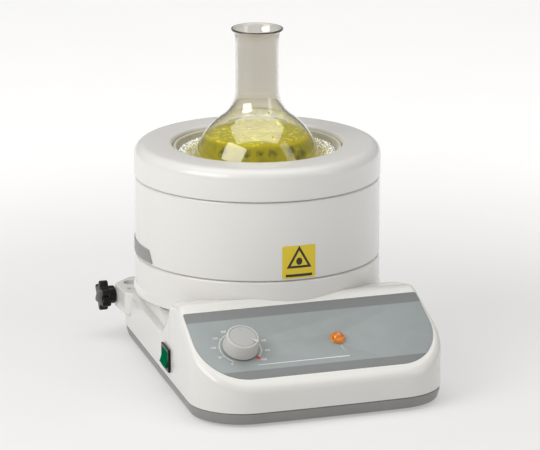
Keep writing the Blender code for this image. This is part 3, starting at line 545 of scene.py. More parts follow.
def rod(name, radius, low, high, place=None, steps=64):
    return lathe(name, [(0, high), (radius, high), (radius, low), (0, low)], steps, place=place)


# ---- places


def panel_frame(x=0, u=0):
    """The place x across the panel and u down its slope."""
    point = (x, PANEL_TOP_Y - u * PANEL_COS, PANEL_TOP_Z - u * PANEL_SIN)
    return Matrix.Translation(point) @ Matrix.Rotation(PANEL_TILT, 4, "X")


DIAL_PLACE, LAMP_PLACE = panel_frame(DIAL_X, DIAL_U), panel_frame(LAMP_X, LAMP_U)


def base_half_width(y):
    return BASE_FRONT_HALF - (y - BASE_FRONT_Y) * tan(BASE_TAPER)


def wall_frame():
    out = Vector((-cos(BASE_TAPER), sin(BASE_TAPER), 0))
    up = Vector((0, 0, 1))
    turn = Matrix((up.cross(out), up, out)).transposed().to_4x4()
    return Matrix.Translation((-base_half_width(SWITCH_Y), SWITCH_Y, SWITCH_Z)) @ turn


def clamp_frame():
    return Matrix.Translation((0, ROD_Y, SCREW_Z)) @ Matrix.Rotation(-pi / 2, 4, "Y")


def inlet_frame(shift=0.0):
    turn = Matrix(((-1, 0, 0, 0), (0, 0, 1, 0), (0, 1, 0, 0), (0, 0, 0, 1)))
    return Matrix.Translation((0.0400 - shift, BASE_REAR_Y, 0.0290)) @ turn


# ---- base

INNER = 0.010
EDGE_STEPS, PEDESTAL_STEPS = 8, 144


def right_half(inset):
    """The base's outline from the front's middle round the right side to the rear."""
    slant = inset / cos(BASE_TAPER)
    front, rear = BASE_FRONT_Y + inset, BASE_REAR_Y - inset
    side = [(base_half_width(y) - slant, y) for y in (front + BASE_FRONT_BOW, rear)]
    corners = [(0, front), side[0], side[1], (-side[1][0], side[1][1]), (-side[0][0], side[0][1])]
    big, small = FRONT_CORNER_R - inset, REAR_CORNER_R - inset
    points = rounded(corners, [1.2, big, small, small, big], radians(3))
    return [p for p in points if p.x > 1e-6]


def stations(spacing):
    """Pairs of points, on the outline and INNER inside it, close together along the side."""
    outer, inner = right_half(0), right_half(INNER)
    pairs = []
    for a, b, c, d in zip(outer, outer[1:], inner, inner[1:]):
        count = max(1, ceil((b - a).length / spacing))
        pairs += [(a.lerp(b, k / count), c.lerp(d, k / count)) for k in range(count)]
    return pairs + [(outer[-1], inner[-1])]


def side_profile():
    """Height of the base's top over Y, from the rear to the front."""
    front_y = BASE_FRONT_Y - 0.02
    front_z = RIDGE_Z - (RIDGE_Y - front_y) * tan(PANEL_TILT)
    corners = [(BASE_REAR_Y + 0.01, DECK_Z), (DECK_END_Y, DECK_Z), (COVE_Y, COVE_Z),
               (SHOULDER_Y, SHOULDER_Z), (RIDGE_Y, RIDGE_Z), (front_y, front_z)]
    return rounded(corners, [0, 0.016, 0.008, 0.0045, 0.010, 0], radians(2), closed=False)


PROFILE = side_profile()


def top_height(y):
    for (y0, z0), (y1, z1) in zip(PROFILE, PROFILE[1:]):
        if y1 <= y <= y0:
            return z0 + (z1 - z0) * (y0 - y) / (y0 - y1)
    return PROFILE[-1][1]


def lofted(name, pairs, levels):
    """The base's outline run up through levels, each a function of a pair giving a point."""
    verts, loops = [], []
    for pair in pairs:
        right = [level(pair) for level in levels]
        loop = right + [(-x, y, z) for x, y, z in reversed(right)]
        loops.append(range(len(verts), len(verts) + len(loop)))
        verts += loop
    faces = []
    count = len(loops[0])
    for a, b in zip(loops, loops[1:]):
        faces += [(a[k], a[(k + 1) % count], b[(k + 1) % count], b[k]) for k in range(count)]
    for loop in (loops[0], loops[-1]):
        faces += [(loop[k], loop[k + 1], loop[-k - 2], loop[-k - 1]) for k in range(count // 2 - 1)]
    return make(name, verts, faces)


def at_inset(pair, inset):
    return pair[0].lerp(pair[1], inset / INNER)


def edge_radius(y):
    part = min(1, max(0, (DECK_END_Y - y) / 0.02))
    return DECK_EDGE_R + (CONSOLE_EDGE_R - DECK_EDGE_R) * part * part * (3 - 2 * part)


def flat_level(inset, z):
    return lambda pair: (*at_inset(pair, inset), z)


def edge_level(turn):
    """A level of the rounded top edge, from 0 on the wall to a quarter turn on the top."""
    def level(pair):
        radius = edge_radius(pair[0].y)
        x, y = at_inset(pair, radius * (1 - cos(turn)))
        return x, y, top_height(y) - radius * (1 - sin(turn))
    return level


def base_cover():
    lip = 0.0004
    levels = [flat_level(lip, COVER_BOTTOM_Z), flat_level(0, COVER_BOTTOM_Z + lip)]
    levels += [flat_level(0, COVER_BOTTOM_Z + 0.0080)]
    levels += [edge_level(pi / 2 * k / EDGE_STEPS) for k in range(EDGE_STEPS + 1)]
    cover = lofted("cover_skin", stations(0.0016), levels)

    overlap = 0.001
    low = DECK_Z - overlap
    pedestal = lathe("pedestal", [
        (0, PEDESTAL_Z), (PEDESTAL_R, PEDESTAL_Z), (PEDESTAL_LOW_R, low), (0, low)], PEDESTAL_STEPS)
    limit = lofted("limit", stations(0.02), [
        flat_level(DECK_EDGE_R, 0.03), flat_level(DECK_EDGE_R, 0.09)])
    cut(pedestal, limit, operation="INTERSECT")
    cut(cover, pedestal, operation="UNION")
    neck = rod("neck", NECK_R, DECK_Z + overlap, NECK_Z + overlap, steps=PEDESTAL_STEPS)
    cut(cover, neck, operation="UNION")

    seat_r, lip_r = DRUM_R + GAP, LIP_R + GAP
    seat = lathe("seat", [
        (0, 0.1), (seat_r, 0.1), (seat_r, LIP_Z + 0.0082), (lip_r, LIP_Z + 0.0032),
        (lip_r, NECK_Z), (0, NECK_Z)], PEDESTAL_STEPS)
    hollow = lofted("hollow", stations(0.006), [
        flat_level(WALL, COVER_BOTTOM_Z - 0.004),
        lambda pair: (*at_inset(pair, WALL), top_height(at_inset(pair, WALL).y) - WALL)])
    cut(hollow, rod("shelf", LIP_R + WALL, NECK_Z - WALL, 0.1, steps=96))
    through = (-0.012, 0.004)
    lap = 0.0012
    wall, inlet = wall_frame(), inlet_frame()
    cut(cover, seat, hollow,
        panel_shape("recess", GAP, -PANEL_RECESS, 0.004),
        rod("dial_hole", DIAL_HOLE_R, *through, DIAL_PLACE),
        rod("lamp_hole", LAMP_HOLE_R, *through, LAMP_PLACE),
        rounded_block("switch_hole", SWITCH_W / 2 - lap, SWITCH_H / 2 - lap, *through, 0.001, wall),
        rounded_block("inlet_hole", 0.0138, 0.0103, *through, 0.001, inlet),
        rod("fuse_hole", 0.0063, *through, inlet_frame(0.0330)),
        clamp_shape("clamp_hole", GAP, CLAMP_LOW_Z - GAP, DECK_Z + 0.01))
    piece(cover, "white_abs", nodes=["base_cover"])


def base_tray():
    rim = 0.0004
    levels = [flat_level(inset, z) for inset, z in (
        (TRAY_SLANT + 0.0010, TRAY_LOW_Z), (TRAY_SLANT + 0.0001, TRAY_LOW_Z + 0.0004),
        (TRAY_SLANT - 0.0004, TRAY_LOW_Z + 0.0012), (rim + 0.0002, TRAY_TOP_Z - 0.0030),
        (rim, TRAY_TOP_Z - 0.0006), (rim + 0.0006, TRAY_TOP_Z),
        (0.0054, TRAY_TOP_Z), (0.0054, TRAY_FLOOR_Z))]
    piece(lofted("tray", stations(0.02), levels), "grey_abs", nodes=["base_tray"])


# ---- panel and controls


def panel_shape(name, grow, low, high):
    top, bottom = PANEL_TOP_HALF + grow, PANEL_LOW_HALF + grow
    length = (PANEL_LENGTH + grow) * PANEL_COS
    corners = [(-bottom, -length), (bottom, -length), (top, grow), (-top, grow)]
    radii = [PANEL_CORNER_R] * 2 + [PANEL_TOP_CORNER_R] * 2
    plan = [(x, y / PANEL_COS if y < 0 else y) for x, y in rounded(corners, radii, radians(3))]
    return prism(name, plan, low, high, panel_frame())


def ribbon(name, points, width, low, high, place):
    """A thin printed line along points of (x, y)."""
    path = [Vector(p) for p in points]
    left, right = [], []
    for i, here in enumerate(path):
        before, after = path[max(i - 1, 0)], path[min(i + 1, len(path) - 1)]
        along = (after - before).normalized()
        side = Vector((-along.y, along.x)) * width / 2
        if 0 < i < len(path) - 1:
            first = (here - before).normalized()
            side /= max(0.5, Vector((-first.y, first.x)).dot(side.normalized()))
        left.append(here + side)
        right.append(here - side)
    return prism(name, left + right[::-1], low, high, place)


def digits(text, height, place):
    """Plain numbers as a thin mesh, centred on a place."""
    curve = bpy.data.curves.new("digits", "FONT")
    curve.body = text
    curve.size = height * 1.42
    curve.extrude = 0.00003
    curve.align_x, curve.align_y = "CENTER", "CENTER"
    obj = placed("digits", curve)
    mesh = evaluated_mesh(obj)
    bpy.data.objects.remove(obj)
    mesh.transform(place)
    return placed("digits", mesh)


# The dial's scale: degrees at its ends, its largest number and the step between numbers.
SCALE_START, SCALE_END, SCALE_TOP, SCALE_STEP = 235.0, -47.0, 450, 50
RING_LINE_R, TICK_LONG, DIGIT_OUT, DIGIT_H = 0.0169, 0.0013, 0.0034, 0.0021


def panel():
    overlay = panel_shape("overlay", 0, -PANEL_THICK, 0)
    cut(overlay, rod("dial_eye", DIAL_HOLE_R, -0.003, 0.003, DIAL_PLACE),
        rod("lamp_eye", LAMP_HOLE_R, -0.003, 0.003, LAMP_PLACE))
    bevel(overlay, 0.00015, 2, 60)
    piece(overlay, "panel_grey", nodes=["panel_overlay"])

    low, high = -0.00002, 0.00006
    ring = arc((0, 0), RING_LINE_R, SCALE_START, SCALE_END, 90)
    parts = [ribbon("ring", ring, 0.00045, low, high, DIAL_PLACE)]
    marks = SCALE_TOP // SCALE_STEP
    for k in range(marks + 1):
        turn = radians(SCALE_START + (SCALE_END - SCALE_START) * k / marks)
        ray = Vector((cos(turn), sin(turn)))
        tick = [ray * RING_LINE_R, ray * (RING_LINE_R + TICK_LONG)]
        parts.append(ribbon("tick", tick, 0.0004, low, high, DIAL_PLACE))
        text = str(SCALE_STEP * k)
        spread = 0.0008 * (len(text) - 1)
        x, y = ray * (RING_LINE_R + DIGIT_OUT) + Vector((copysign(spread, ray.x), 0))
        parts.append(digits(text, DIGIT_H, DIAL_PLACE @ Matrix.Translation((x, y, 0.00003))))
    lead = [(LAMP_X + 0.0006, -LAMP_U - 0.0085), (LAMP_X + 0.0040, -0.0620), (-0.0553, -0.0622)]
    parts.append(ribbon("lead_line", lead, 0.00042, low, high, panel_frame()))
    piece(joined("panel_print", parts), "knob_white", look="print_white")
    dome = [(0, 0.00013), (0.0011, 0.00011), (0.0016, 0.00008), (0.0019, 0.00003),
            (0.0019, low), (0, low)]
    dot = lathe("scale_dot", dome, 40, place=panel_frame(-0.0526, 0.0543))
    piece(dot, "amber_lens", look="print_red")


def dial():
    low, seat = 0.0008, DIAL_H - 0.0011
    bore = SHAFT_R + GAP
    corners = [
        (0, seat), (DIAL_CAP_R + GAP, seat), (DIAL_CAP_R + GAP, DIAL_H), (DIAL_TOP_R, DIAL_H),
        (DIAL_R - 0.0002, low + 0.0016), (DIAL_R, low), (bore, low), (bore, 0.0090), (0, 0.0090),
    ]
    radii = [0, 0.0001, 0.0002, 0.0010, 0.0006, 0.0003, 0.0003, 0, 0]
    profile = rounded(corners, radii, radians(12), closed=False)
    knob = lathe("knob", profile, 128, place=DIAL_PLACE)
    piece(knob, "knob_white", "dial", ["dial_knob"])
    dome = rounded(
        [(0, DIAL_H + 0.0002), (DIAL_CAP_R, DIAL_H), (DIAL_CAP_R, seat + GAP), (0, seat + GAP)],
        [0, 0.0004, 0, 0], radians(15), closed=False)
    piece(lathe("knob_cap", dome, 128, place=DIAL_PLACE), "cap_grey", "dial", ["dial_knob_cap"])
    tab = [(0.0062, -0.0003), (0.0132, -0.0016), (0.0134, 0), (0.0132, 0.0016), (0.0062, 0.0003)]
    turn = DIAL_PLACE @ Matrix.Rotation(radians(-35), 4, "Z")
    pointer = bevel(prism("knob_pointer", tab, DIAL_H - 0.0020, DIAL_H + 0.0009, turn), 0.0003, 2)
    piece(pointer, "knob_white", "dial")


def pilot_lamp():
    """A cut amber lens: two rings of facets round a small flat table."""
    count = 12
    verts, rings = [], []
    spec = (  # radius, height, turn in facets
        (0.0018, 0.0050, 0.0), (0.0036, 0.0043, 0.5), (0.0047, 0.0030, 0.0), (0.0054, 0.0017, 0.5),
        (LAMP_R, 0.0014, 0.5), (LAMP_R, GAP, 0.5), (0.0046, GAP, 0.5), (0.0046, -0.0010, 0.5))
    for radius, height, shift in spec:
        rings.append(range(len(verts), len(verts) + count))
        for k in range(count):
            turn = 2 * pi * (k + shift) / count
            verts.append((radius * cos(turn), radius * sin(turn), height))
    faces = [tuple(rings[0]), tuple(rings[-1])]
    for (a, b), (first, second) in zip(zip(rings, rings[1:]), zip(spec, spec[1:])):
        slip = second[2] - first[2]
        for k in range(count):
            n = (k + 1) % count
            if slip == 0:
                faces.append((a[k], a[n], b[n], b[k]))
            elif slip > 0:
                faces += [(a[k], a[n], b[k]), (a[n], b[n], b[k])]
            else:
                faces += [(a[k], a[n], b[n]), (a[k], b[n], b[k])]
    lens = make("lamp_lens", verts, faces, LAMP_PLACE, smooth=8)
    piece(lens, "amber_lens", nodes=["pilot_lamp_lens"])
    bezel = rounded([(0.0064, 0.0008), (0.0064, 0.0001), (0.0060, 0.0001), (0.0060, 0.0008)],
                    [0.0002, 0.0001, 0.0001, 0.0001], radians(20))
    piece(lathe("lamp_bezel", bezel, 96, ring=True, place=LAMP_PLACE), "brass")


def power_switch():
    wall = wall_frame()
    half_w, half_h = SWITCH_W / 2, SWITCH_H / 2
    bezel = rounded_block("bezel", half_w, half_h, GAP, 0.0022, 0.0012, wall)
    bevel(bezel, 0.0006, 3, 60)
    step = 0.0015
    barrel = rounded_block("barrel", half_w - step, half_h - step, -0.0180, 0.0010, 0.0006, wall)
    cut(bezel, barrel, operation="UNION")
    cut(bezel, rounded_block("mouth", ROCKER_W / 2 + 0.0005, ROCKER_H / 2 + 0.0008,
                             -0.0070, 0.01, 0.0005, wall))
    piece(bezel, "black_plastic", nodes=["switch_bezel"])
    half, low = ROCKER_H / 2, -0.0030
    corners = [(-half, 0), (-half / 2, low), (half / 2, low), (half, 0),
               (half, 0.0036), (0, 0.0026), (-half, 0.0036)]
    outline = rounded(corners, [0, 0, 0, 0, 0.0006, 0.004, 0.0006], radians(6))
    across = Matrix(((0, 0, 1), (1, 0, 0), (0, 1, 0))).to_4x4()
    place = wall @ Matrix.Rotation(-ROCKER_TILT, 4, "X") @ across
    rocker = bevel(prism("rocker", outline, -ROCKER_W / 2, ROCKER_W / 2, place), 0.0005, 3, 60)
    piece(rocker, "green_lens", "rocker", ["switch_rocker"])


# ---- drum


def turned_ring(name, corners, radii, slot, node):
    ring = lathe(name, rounded(corners, radii, radians(9)), DRUM_STEPS, ring=True)
    piece(ring, slot, nodes=[node])


def drum():
    seam = GROOVE_HALF / 2
    low_top, shell_low = LOW_GROOVE_Z - seam, LOW_GROOVE_Z + seam
    shell_top, ring_low = TOP_GROOVE_Z - seam, TOP_GROOVE_Z + seam
    floor_z = LIP_Z + 0.0020
    turned_ring("lower_ring", [
        (SPIGOT_R, 0.1000), (SPIGOT_R, low_top), (DRUM_R, low_top), (DRUM_R, LIP_Z + 0.0075),
        (LIP_R, LIP_Z + 0.0030), (LIP_R, LIP_Z), (0.0600, LIP_Z), (0.0600, floor_z),
        (SPIGOT_IN_R, floor_z), (SPIGOT_IN_R, 0.1000)],
        [0.0003, 0.0001, 0.0022, 0.0050, 0.0015, 0.0011, 0, 0, 0.0010, 0.0003],
        "white_abs", "drum_lower_ring")
    turned_ring("shell", [
        (SHELL_IN_R, shell_top), (DRUM_R, shell_top), (DRUM_R, shell_low), (SHELL_IN_R, shell_low)],
        [0.0001, 0.0019, 0.0012, 0.0002], "white_abs", "drum_shell")
    roof_z, skirt_z, throat = RING_TOP_Z - 0.0025, 0.1740, MOUTH_R + 0.0025
    turned_ring("top_ring", [
        (MOUTH_R, RING_TOP_Z), (RING_R, RING_TOP_Z), (RING_R, ring_low), (SPIGOT_R, ring_low),
        (SPIGOT_R, 0.1530), (SPIGOT_IN_R, 0.1530), (SPIGOT_IN_R, roof_z - 0.0060),
        (RING_R - RING_EDGE_R, roof_z), (throat, roof_z), (throat, skirt_z), (MOUTH_R, skirt_z)],
        [0.0030, RING_EDGE_R, 0.0012, 0.0002, 0.0003, 0.0003, 0.0020, 0.0020, 0.0008, 0.0003,
         0.0003], "white_abs", "drum_top_ring")
    out = MOUTH_R - GAP
    turned_ring("collar", [
        (out, COLLAR_TOP_Z), (out, 0.1722), (0.0800, 0.1722), (0.0800, 0.1700),
        (COLLAR_IN_R, 0.1700), (COLLAR_IN_R, COLLAR_TOP_Z)],
        [0.0012, 0, 0, 0, 0.0008, 0.0012], "cream_collar", "nest_collar")


def smooth_path(points, per_span):
    """A smooth line through points."""
    path = [Vector(p) for p in points]
    out = []
    for i in range(len(path) - 1):
        a, b = path[max(i - 1, 0)], path[i]
        c, d = path[i + 1], path[min(i + 2, len(path) - 1)]
        for k in range(per_span):
            t = k / per_span
            out.append(0.5 * (2 * b + (c - a) * t + (2 * a - 5 * b + 4 * c - d) * t * t
                              + (3 * b - a - 3 * c + d) * t ** 3))
    return [tuple(p) for p in out] + [tuple(path[-1])]


def nest():
    """The nest's knitted glass cloth: staggered loops that stand out round the rim."""
    inner = arc((0, BULB_Z), NEST_IN_R, -90, -6, 40)
    rim = [(0.0527, 0.1600), (0.0540, 0.1680), (0.0554, 0.1735), (0.0576, 0.1770), (0.0608, 0.1784),
           (0.0638, 0.1784), (0.0654, 0.1745)]
    outer = arc((0, BULB_Z), NEST_OUT_R, 2, -90, 12)
    profile = inner[:-1] + smooth_path(rim, 8) + outer
    profile[0], profile[-1] = (0, inner[0][1]), (0, outer[-1][1])
    loops, pitch = 156, 0.0017

    def stitched(radius, height, turn):
        if height < 0.1500 or radius > 0.0655:
            return radius, height
        along = (radius - 0.0527 + (height - 0.1600) * 0.6) / pitch
        row = floor(along)
        u = turn * loops / (2 * pi) + 0.5 * (row % 2)
        loop = abs(sin(pi * u)) ** 0.7 * abs(sin(pi * along)) ** 0.6
        fuzz = noise.noise(Vector((radius * 900, turn * 55, height * 900)))
        lump = noise.noise(Vector((cos(turn) * 9, sin(turn) * 9, 3.0)))
        rise = 0.0011 * (loop - 0.5) + 0.0006 * fuzz + 0.0006 * lump
        return radius - rise * 0.25, height + rise

    cloth = lathe("nest_cloth", profile, NEST_STEPS, shift=stitched, smooth=180)
    piece(cloth, "glass_cloth", nodes=["heating_nest"])


def fibres():
    """Loose ends of glass yarn that stand out of the nest's rim."""
    parts = []
    for _ in range(260):
        turn = RANDOM.uniform(0, 2 * pi)
        radius = RANDOM.uniform(0.0572, 0.0638)
        height = 0.1768 + RANDOM.uniform(-0.0012, 0.0010)
        start = Vector((radius * cos(turn), radius * sin(turn), height))
        heading = RANDOM.uniform(0, 2 * pi)
        side = Vector((cos(heading), sin(heading), 0))
        long, rise, thick = RANDOM.uniform(0.0010, 0.0026), RANDOM.uniform(0.0006, 0.0016), 0.00011
        verts, faces = [], []
        for k in range(5):
            t = k / 4
            here = start + side * long * t + Vector((0, 0, rise * sin(pi * (0.15 + 0.75 * t))))
            across = side.cross(Vector((0, 0, 1))) * thick
            verts += [here + across, here - across, here + Vector((0, 0, thick * 1.6))]
        for k in range(4):
            a = 3 * k
            faces += [(a, a + 1, a + 4, a + 3), (a + 1, a + 2, a + 5, a + 4),
                      (a + 2, a, a + 3, a + 5)]
        faces += [(2, 1, 0), (12, 13, 14)]
        parts.append(make("fibre", verts, faces))
    piece(joined("nest_fibres", parts), "glass_cloth")


# ---- labels


def wrapped(name, outline, angle, z, low, high):
    """A flat outline laid on the drum, centred at an angle and height."""
    mesh_obj = prism(name, outline, low, high)
    bm = bmesh.new()
    bm.from_mesh(mesh_obj.data)
    left = min(p[0] for p in outline)
    span = max(p[0] for p in outline) - left
    pieces = max(2, ceil(span / 0.002))
    for k in range(1, pieces):
        bmesh.ops.bisect_plane(bm, geom=bm.verts[:] + bm.edges[:] + bm.faces[:],
                               plane_co=(left + span * k / pieces, 0, 0), plane_no=(1, 0, 0))
    for vert in bm.verts:
        x, y, h = vert.co
        turn = radians(angle) + x / DRUM_R
        radius = DRUM_R + h
        vert.co = (radius * cos(turn), radius * sin(turn), z + y)
    bmesh.ops.recalc_face_normals(bm, faces=bm.faces)
    write_back(bm, mesh_obj.data)
    soften(mesh_obj.data)
    return mesh_obj


def labels():
    """A yellow plate with a plain triangle, spot and bar, and a blank grey plate."""
    spot = -90.0, 0.1094
    film = rounded_rectangle(radians(8) * DRUM_R, 0.0134, 0.0010)
    film = wrapped("caution_film", film, *spot, 0.0001, 0.00045)
    piece(film, "yellow_label", nodes=["caution_label"])
    layer = *spot, 0.00042, 0.00052
    centre = Vector((0, 0.0012))
    outer, inner = (
        [centre + Vector((cos(radians(a)), sin(radians(a)))) * radius for a in (90, 210, 330)]
        for radius in (0.0122, 0.0084))
    parts = []
    for k in range(3):
        n = (k + 1) % 3
        parts.append(wrapped("side", [outer[k], outer[n], inner[n], inner[k]], *layer))
    blob = [centre + Vector((0.0026 * cos(t), -0.0006 + 0.0030 * sin(t)))
            for t in (2 * pi * k / 24 for k in range(24))]
    parts.append(wrapped("blob", blob, *layer))
    bar = [Vector((0, -0.0110)) + p for p in rounded_rectangle(0.01125, 0.0011, 0.0003)]
    parts.append(wrapped("bar", bar, *layer))
    piece(joined("caution_print", parts), "black_plastic", look="print_black")

    spot = 170.9, 0.1015
    half, slant = radians(20.9) * DRUM_R, 0.0040
    plate = [(-half, -0.0055), (half + slant / 2, -0.0055), (half - slant, 0.0055), (-half, 0.0055)]
    plate = wrapped("badge_plate", rounded(plate, [0.0008] * 4, radians(15)), *spot, 0.0001, 0.0006)
    piece(plate, "badge_grey", nodes=["side_badge"])
    left, right = -half + 0.0012, half + slant / 2 - 0.0018
    field = [(left, -0.0043), (right, -0.0043), (half - slant - 0.0006, 0.0043), (left, 0.0043)]
    field = rounded(field, [0.0006] * 4, radians(15))
    piece(wrapped("badge_field", field, *spot, 0.00055, 0.00068), "badge_grey", look="grey_abs")


# ---- flask


def flask_side(offset, steps):
    bulb, neck, fillet = BULB_R - offset, FLASK_NECK_R - offset, FLASK_FILLET_R + offset
    rise = sqrt((bulb + fillet) ** 2 - (neck + fillet) ** 2)
    meet = degrees(atan2(rise, neck + fillet))
    points = arc((0, BULB_Z), bulb, -90, meet, steps)
    points += arc((neck + fillet, BULB_Z + rise), fillet, 180 + meet, 180, steps // 3)[1:]
    points[0] = (0, points[0][1])
    return points


def flask():
    flare = FLASK_TOP_Z - 0.0100
    lip = smooth_path([
        (FLASK_NECK_R, flare), (0.0182, 0.2740), (0.0196, 0.2774), (0.0209, 0.2788),
        (FLASK_RIM_R, 0.2798), (0.0209, FLASK_TOP_Z - 0.0001), (0.0196, 0.2803), (0.0178, 0.2774),
        (0.0164, 0.2742), (FLASK_NECK_R - FLASK_WALL, flare)], 5)
    root = BULB_Z + 0.0657
    neck = [(FLASK_NECK_R, root + (flare - root) * k / 8) for k in range(1, 8)]
    neck_in = [(r - FLASK_WALL, z) for r, z in neck]
    outer, inner = flask_side(0, 72), flask_side(FLASK_WALL, 72)
    profile = inner + neck_in + lip[::-1] + neck[::-1] + outer[::-1]
    glass = lathe("flask_glass", profile, GLASS_STEPS, smooth=80)
    piece(glass, "borosilicate", "flask", ["flask"])


def liquid():
    radius = BULB_R - FLASK_WALL + 0.0001
    level = degrees(asin((LIQUID_Z + 0.0008 - BULB_Z) / radius))
    edge_r = radius * cos(radians(level))
    surface, rings, climb, reach = [], 44, 0.0008, 0.0022
    for k in range(rings):
        r = edge_r * k / rings
        surface.append((r, LIQUID_Z + climb * max(0, (r - edge_r + reach) / reach) ** 2))
    body = arc((0, BULB_Z), radius, level, -90, 64)
    body[-1] = (0, BULB_Z - radius)

    def rippled(r, z, turn):
        if z < LIQUID_Z - 1e-6 or r > edge_r * 0.97:
            return r, z
        x, y = r * cos(turn), r * sin(turn)
        wave = sin(r * 620 + 2.2 * noise.noise(Vector((x * 60, y * 60, 0))))
        swell = noise.noise(Vector((x * 110, y * 110, 5)))
        return r, z + 0.00022 * wave + 0.00060 * swell

    pool = lathe("liquid_body", surface + body, GLASS_STEPS, shift=rippled, smooth=70)
    piece(pool, "yellow_liquid", "flask", ["flask_liquid"])

    drops = []
    for _ in range(26):
        turn = RANDOM.uniform(-2.0, -0.3)
        reach = edge_r - RANDOM.uniform(0.0012, 0.0045)
        drops.append((reach, turn, LIQUID_Z + 0.0003, RANDOM.uniform(0.0003, 0.0007)))
    for _ in range(24):
        height = RANDOM.uniform(LIQUID_Z + 0.003, 0.2060)
        reach = sqrt(radius ** 2 - (height - BULB_Z) ** 2) - 0.0004
        drops.append((reach, RANDOM.uniform(0, 2 * pi), height, RANDOM.uniform(0.0004, 0.0010)))
    parts = []
    for reach, turn, height, size in drops:
        place = Matrix.Translation((reach * cos(turn), reach * sin(turn), height))
        ball = [(size * sin(t), size * cos(t)) for t in (pi * k / 8 for k in range(9))]
        ball[0], ball[-1] = (0, size), (0, -size)
        parts.append(lathe("drop", ball, 12, place=place, smooth=180))
    piece(joined("liquid_drops", parts), "yellow_liquid", "flask")


# ---- rod clamp


def clamp_shape(name, grow, low, high):
    out, inside = CLAMP_OUT_X - grow, CLAMP_IN_X + grow
    front, rear = CLAMP_FRONT_Y - grow, CLAMP_REAR_Y + grow
    corners = [(out, front), (inside - 0.0160, front), (inside, front + 0.0230)]
    corners += [(inside, rear), (inside - 0.0140, rear), (out, rear - 0.0160)]
    radii = [0.0120, 0.0010, 0.0010, 0.0010, 0.0080, 0.0080]
    return prism(name, rounded(corners, radii, radians(5)), low, high)


def clamp():
    body = clamp_shape("clamp_block", 0, CLAMP_LOW_Z, CLAMP_TOP_Z)
    bevel(body, 0.0014, 4, 50)
    frame_x, out = clamp_frame(), -CLAMP_OUT_X
    bore = SHAFT_R + GAP
    cut(body,
        rod("rod_hole", ROD_R, ROD_FLOOR_Z, CLAMP_TOP_Z + 0.004,
            Matrix.Translation((ROD_X, ROD_Y, 0)), 72),
        rod("screw_bore", bore, -ROD_X, out + 0.004, frame_x, 40),
        rod("nut_seat", 0.0048, out - 0.0034, out + 0.004, frame_x, 48),
        rounded_block("sink", 0.0022, 0.0030, CLAMP_TOP_Z - 0.0030, CLAMP_TOP_Z + 0.002, 0.0010,
                      Matrix.Translation((-0.0805, 0.0925, 0))))
    piece(body, "white_abs", nodes=["rod_clamp"])

    hub_low = out + 0.0006
    star_low = hub_low + HUB_LONG
    screw_end = star_low + 0.0040
    steps = 144
    turns = [2 * pi * k / steps for k in range(steps)]
    radii = [STAR_R + STAR_LOBE * cos(STAR_LOBES * t) for t in turns]
    outline = [(r * cos(t), r * sin(t)) for r, t in zip(radii, turns)]
    star = bevel(prism("star", outline, star_low, star_low + STAR_THICK, frame_x), 0.0013, 4, 60)
    hub = lathe("hub", rounded(
        [(bore, hub_low), (bore, screw_end + GAP), (0, screw_end + GAP), (0, star_low + 0.005),
         (HUB_R, star_low + 0.005), (HUB_R, hub_low)], [0, 0, 0, 0, 0, 0.0006], radians(15)),
        72, ring=True, place=frame_x)
    cut(star, rod("star_bore", bore, star_low - 0.002, screw_end + GAP, frame_x, 40))
    piece(joined("star_knob", [star, hub]), "black_plastic", "clamp_knob", ["clamp_star_knob"])


# ---- small parts kept from the CAD


def dress_cad():
    """Every CAD part that stays gets its own worked material and a small bevel on its edges."""
    slots = {s["node"]: s["material_slot"] for s in frame["record"]["subparts"]}
    for name, node in frame["nodes"].items():
        if node.hide_render:
            continue
        node.data.materials.clear()
        node.data.materials.append(LOOKS[slots[name]])
        add_bevel(node, 0.0002, 2, 40)


# ---- stage

# The camera, fitted to the photograph. Angles are in radians but for the azimuth.
CAMERA_DISTANCE, CAMERA_RISE, CAMERA_YAW, CAMERA_PITCH = 3.610, 0.2636, 0.0030, 0.2580
CAMERA_AZIMUTH, CAMERA_TARGET_Z = -19.5, 0.094
FOCAL_PIXELS, FRAME_WIDTH, SENSOR = 4384, 540, 36
# Name, azimuth, elevation, width, height, power and colour.
LIGHTS = (
    ("key", -71, 32, 1.10, 0.78, 11.8, (1.0, 0.99, 0.97)),
    ("over", -19.5, 88, 2.20, 1.50, 15.0, (1.0, 0.99, 0.98)),
    ("side", 48, 23, 0.45, 1.20, 2.2, (1.0, 0.98, 0.95)),
)
LIGHT_DISTANCE, LIGHT_TARGET = 1.5, (0, 0, 0.19)
ROOM_OVERHEAD, ROOM_STRENGTH = (0.72, 0.97), (0.27, 0.50)
# The floor's glow is weaker close to the object, a painted shade round it.
FLOOR_HALF, FLOOR_REACH, FLOOR_GLOW_AND_PAINTED_SHADE = 60.0, (0.20, 0.85), (0.37, 0.68)


def softbox(name, azimuth, elevation, width, height, energy, colour):
    """A soft light aimed at the drum's top. Azimuth runs from the front toward the right."""
    light = bpy.data.lights.new(name, "AREA")
    light.shape = "RECTANGLE"
    light.size, light.size_y, light.energy, light.color = width, height, energy, colour
    a, e = radians(azimuth), radians(elevation)
    away = Vector((sin(a) * cos(e), -cos(a) * cos(e), sin(e)))
    obj = placed(name, light)
    obj.location = Vector(LIGHT_TARGET) + away * LIGHT_DISTANCE
    obj.rotation_euler = (Vector(LIGHT_TARGET) - obj.location).to_track_quat("-Z", "Y").to_euler()


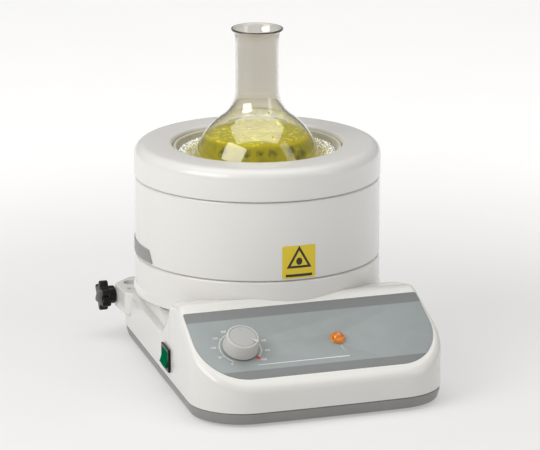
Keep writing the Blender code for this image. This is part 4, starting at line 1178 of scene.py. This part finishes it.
def world():
    """An even grey room, brighter overhead."""
    made = bpy.data.worlds.new("studio")
    bpy.context.scene.world = made
    made.use_nodes = True
    tree = made.node_tree
    coords = tree.nodes.new("ShaderNodeTexCoord").outputs["Generated"]
    parts = tree.nodes.new("ShaderNodeSeparateXYZ")
    tree.links.new(coords, parts.inputs["Vector"])
    back = tree.nodes["Background"]
    back.inputs["Color"].default_value = (1.0, 0.99, 0.975, 1)
    strength = mapped(tree, parts.outputs["Z"], *ROOM_OVERHEAD, *ROOM_STRENGTH, smooth=True)
    tree.links.new(strength, back.inputs["Strength"])


def paper_floor():
    """Pale paper that glows a little, more so away from the object; the dimmer glow near it is a
    painted shade.
    """
    size = FLOOR_HALF
    obj = make("floor", [(-size, -size, 0), (size, -size, 0), (size, size, 0), (-size, size, 0)],
               [(0, 1, 2, 3)])
    look = Look("floor_paper", Emission_Color=(1.0, 0.995, 0.985, 1))
    # Painted shade: the glow drops close to the object.
    glow = look.mapped(look.axis_distance(), *FLOOR_REACH, *FLOOR_GLOW_AND_PAINTED_SHADE, smooth=True)
    look.feed("Emission Strength", glow)
    look.colour((0.44, 0.44, 0.435), (0.46, 0.46, 0.455), 6)
    look.roughness(0.75, 0.9, 12)
    look.grain(400, 0.05)
    obj.data.materials.append(look.material)


def camera():
    spot = Vector((0, -CAMERA_DISTANCE * cos(CAMERA_RISE), CAMERA_DISTANCE * sin(CAMERA_RISE)))
    ahead = Vector((sin(CAMERA_YAW) * cos(CAMERA_PITCH), cos(CAMERA_YAW) * cos(CAMERA_PITCH),
                    -sin(CAMERA_PITCH)))
    right = Vector((cos(CAMERA_YAW), -sin(CAMERA_YAW), 0))
    turn = Matrix.Rotation(radians(CAMERA_AZIMUTH), 3, "Z")
    rows = [turn @ right, turn @ right.cross(ahead), -(turn @ ahead)]
    lens = bpy.data.cameras.new("camera")
    lens.sensor_width, lens.clip_end = SENSOR, 200
    lens.lens = FOCAL_PIXELS * SENSOR / FRAME_WIDTH
    obj = placed("camera", lens)
    place = Matrix.Translation(turn @ spot + Vector((0, 0, CAMERA_TARGET_Z)))
    obj.matrix_world = place @ Matrix(rows).transposed().to_4x4()
    bpy.context.scene.camera = obj


camera()
world()
paper_floor()
for light in LIGHTS:
    softbox(*light)
bpy.context.scene.view_settings.view_transform = "Standard"

base_cover()
base_tray()
panel()
dial()
pilot_lamp()
power_switch()
drum()
nest()
fibres()
labels()
flask()
liquid()
clamp()
dress_cad()
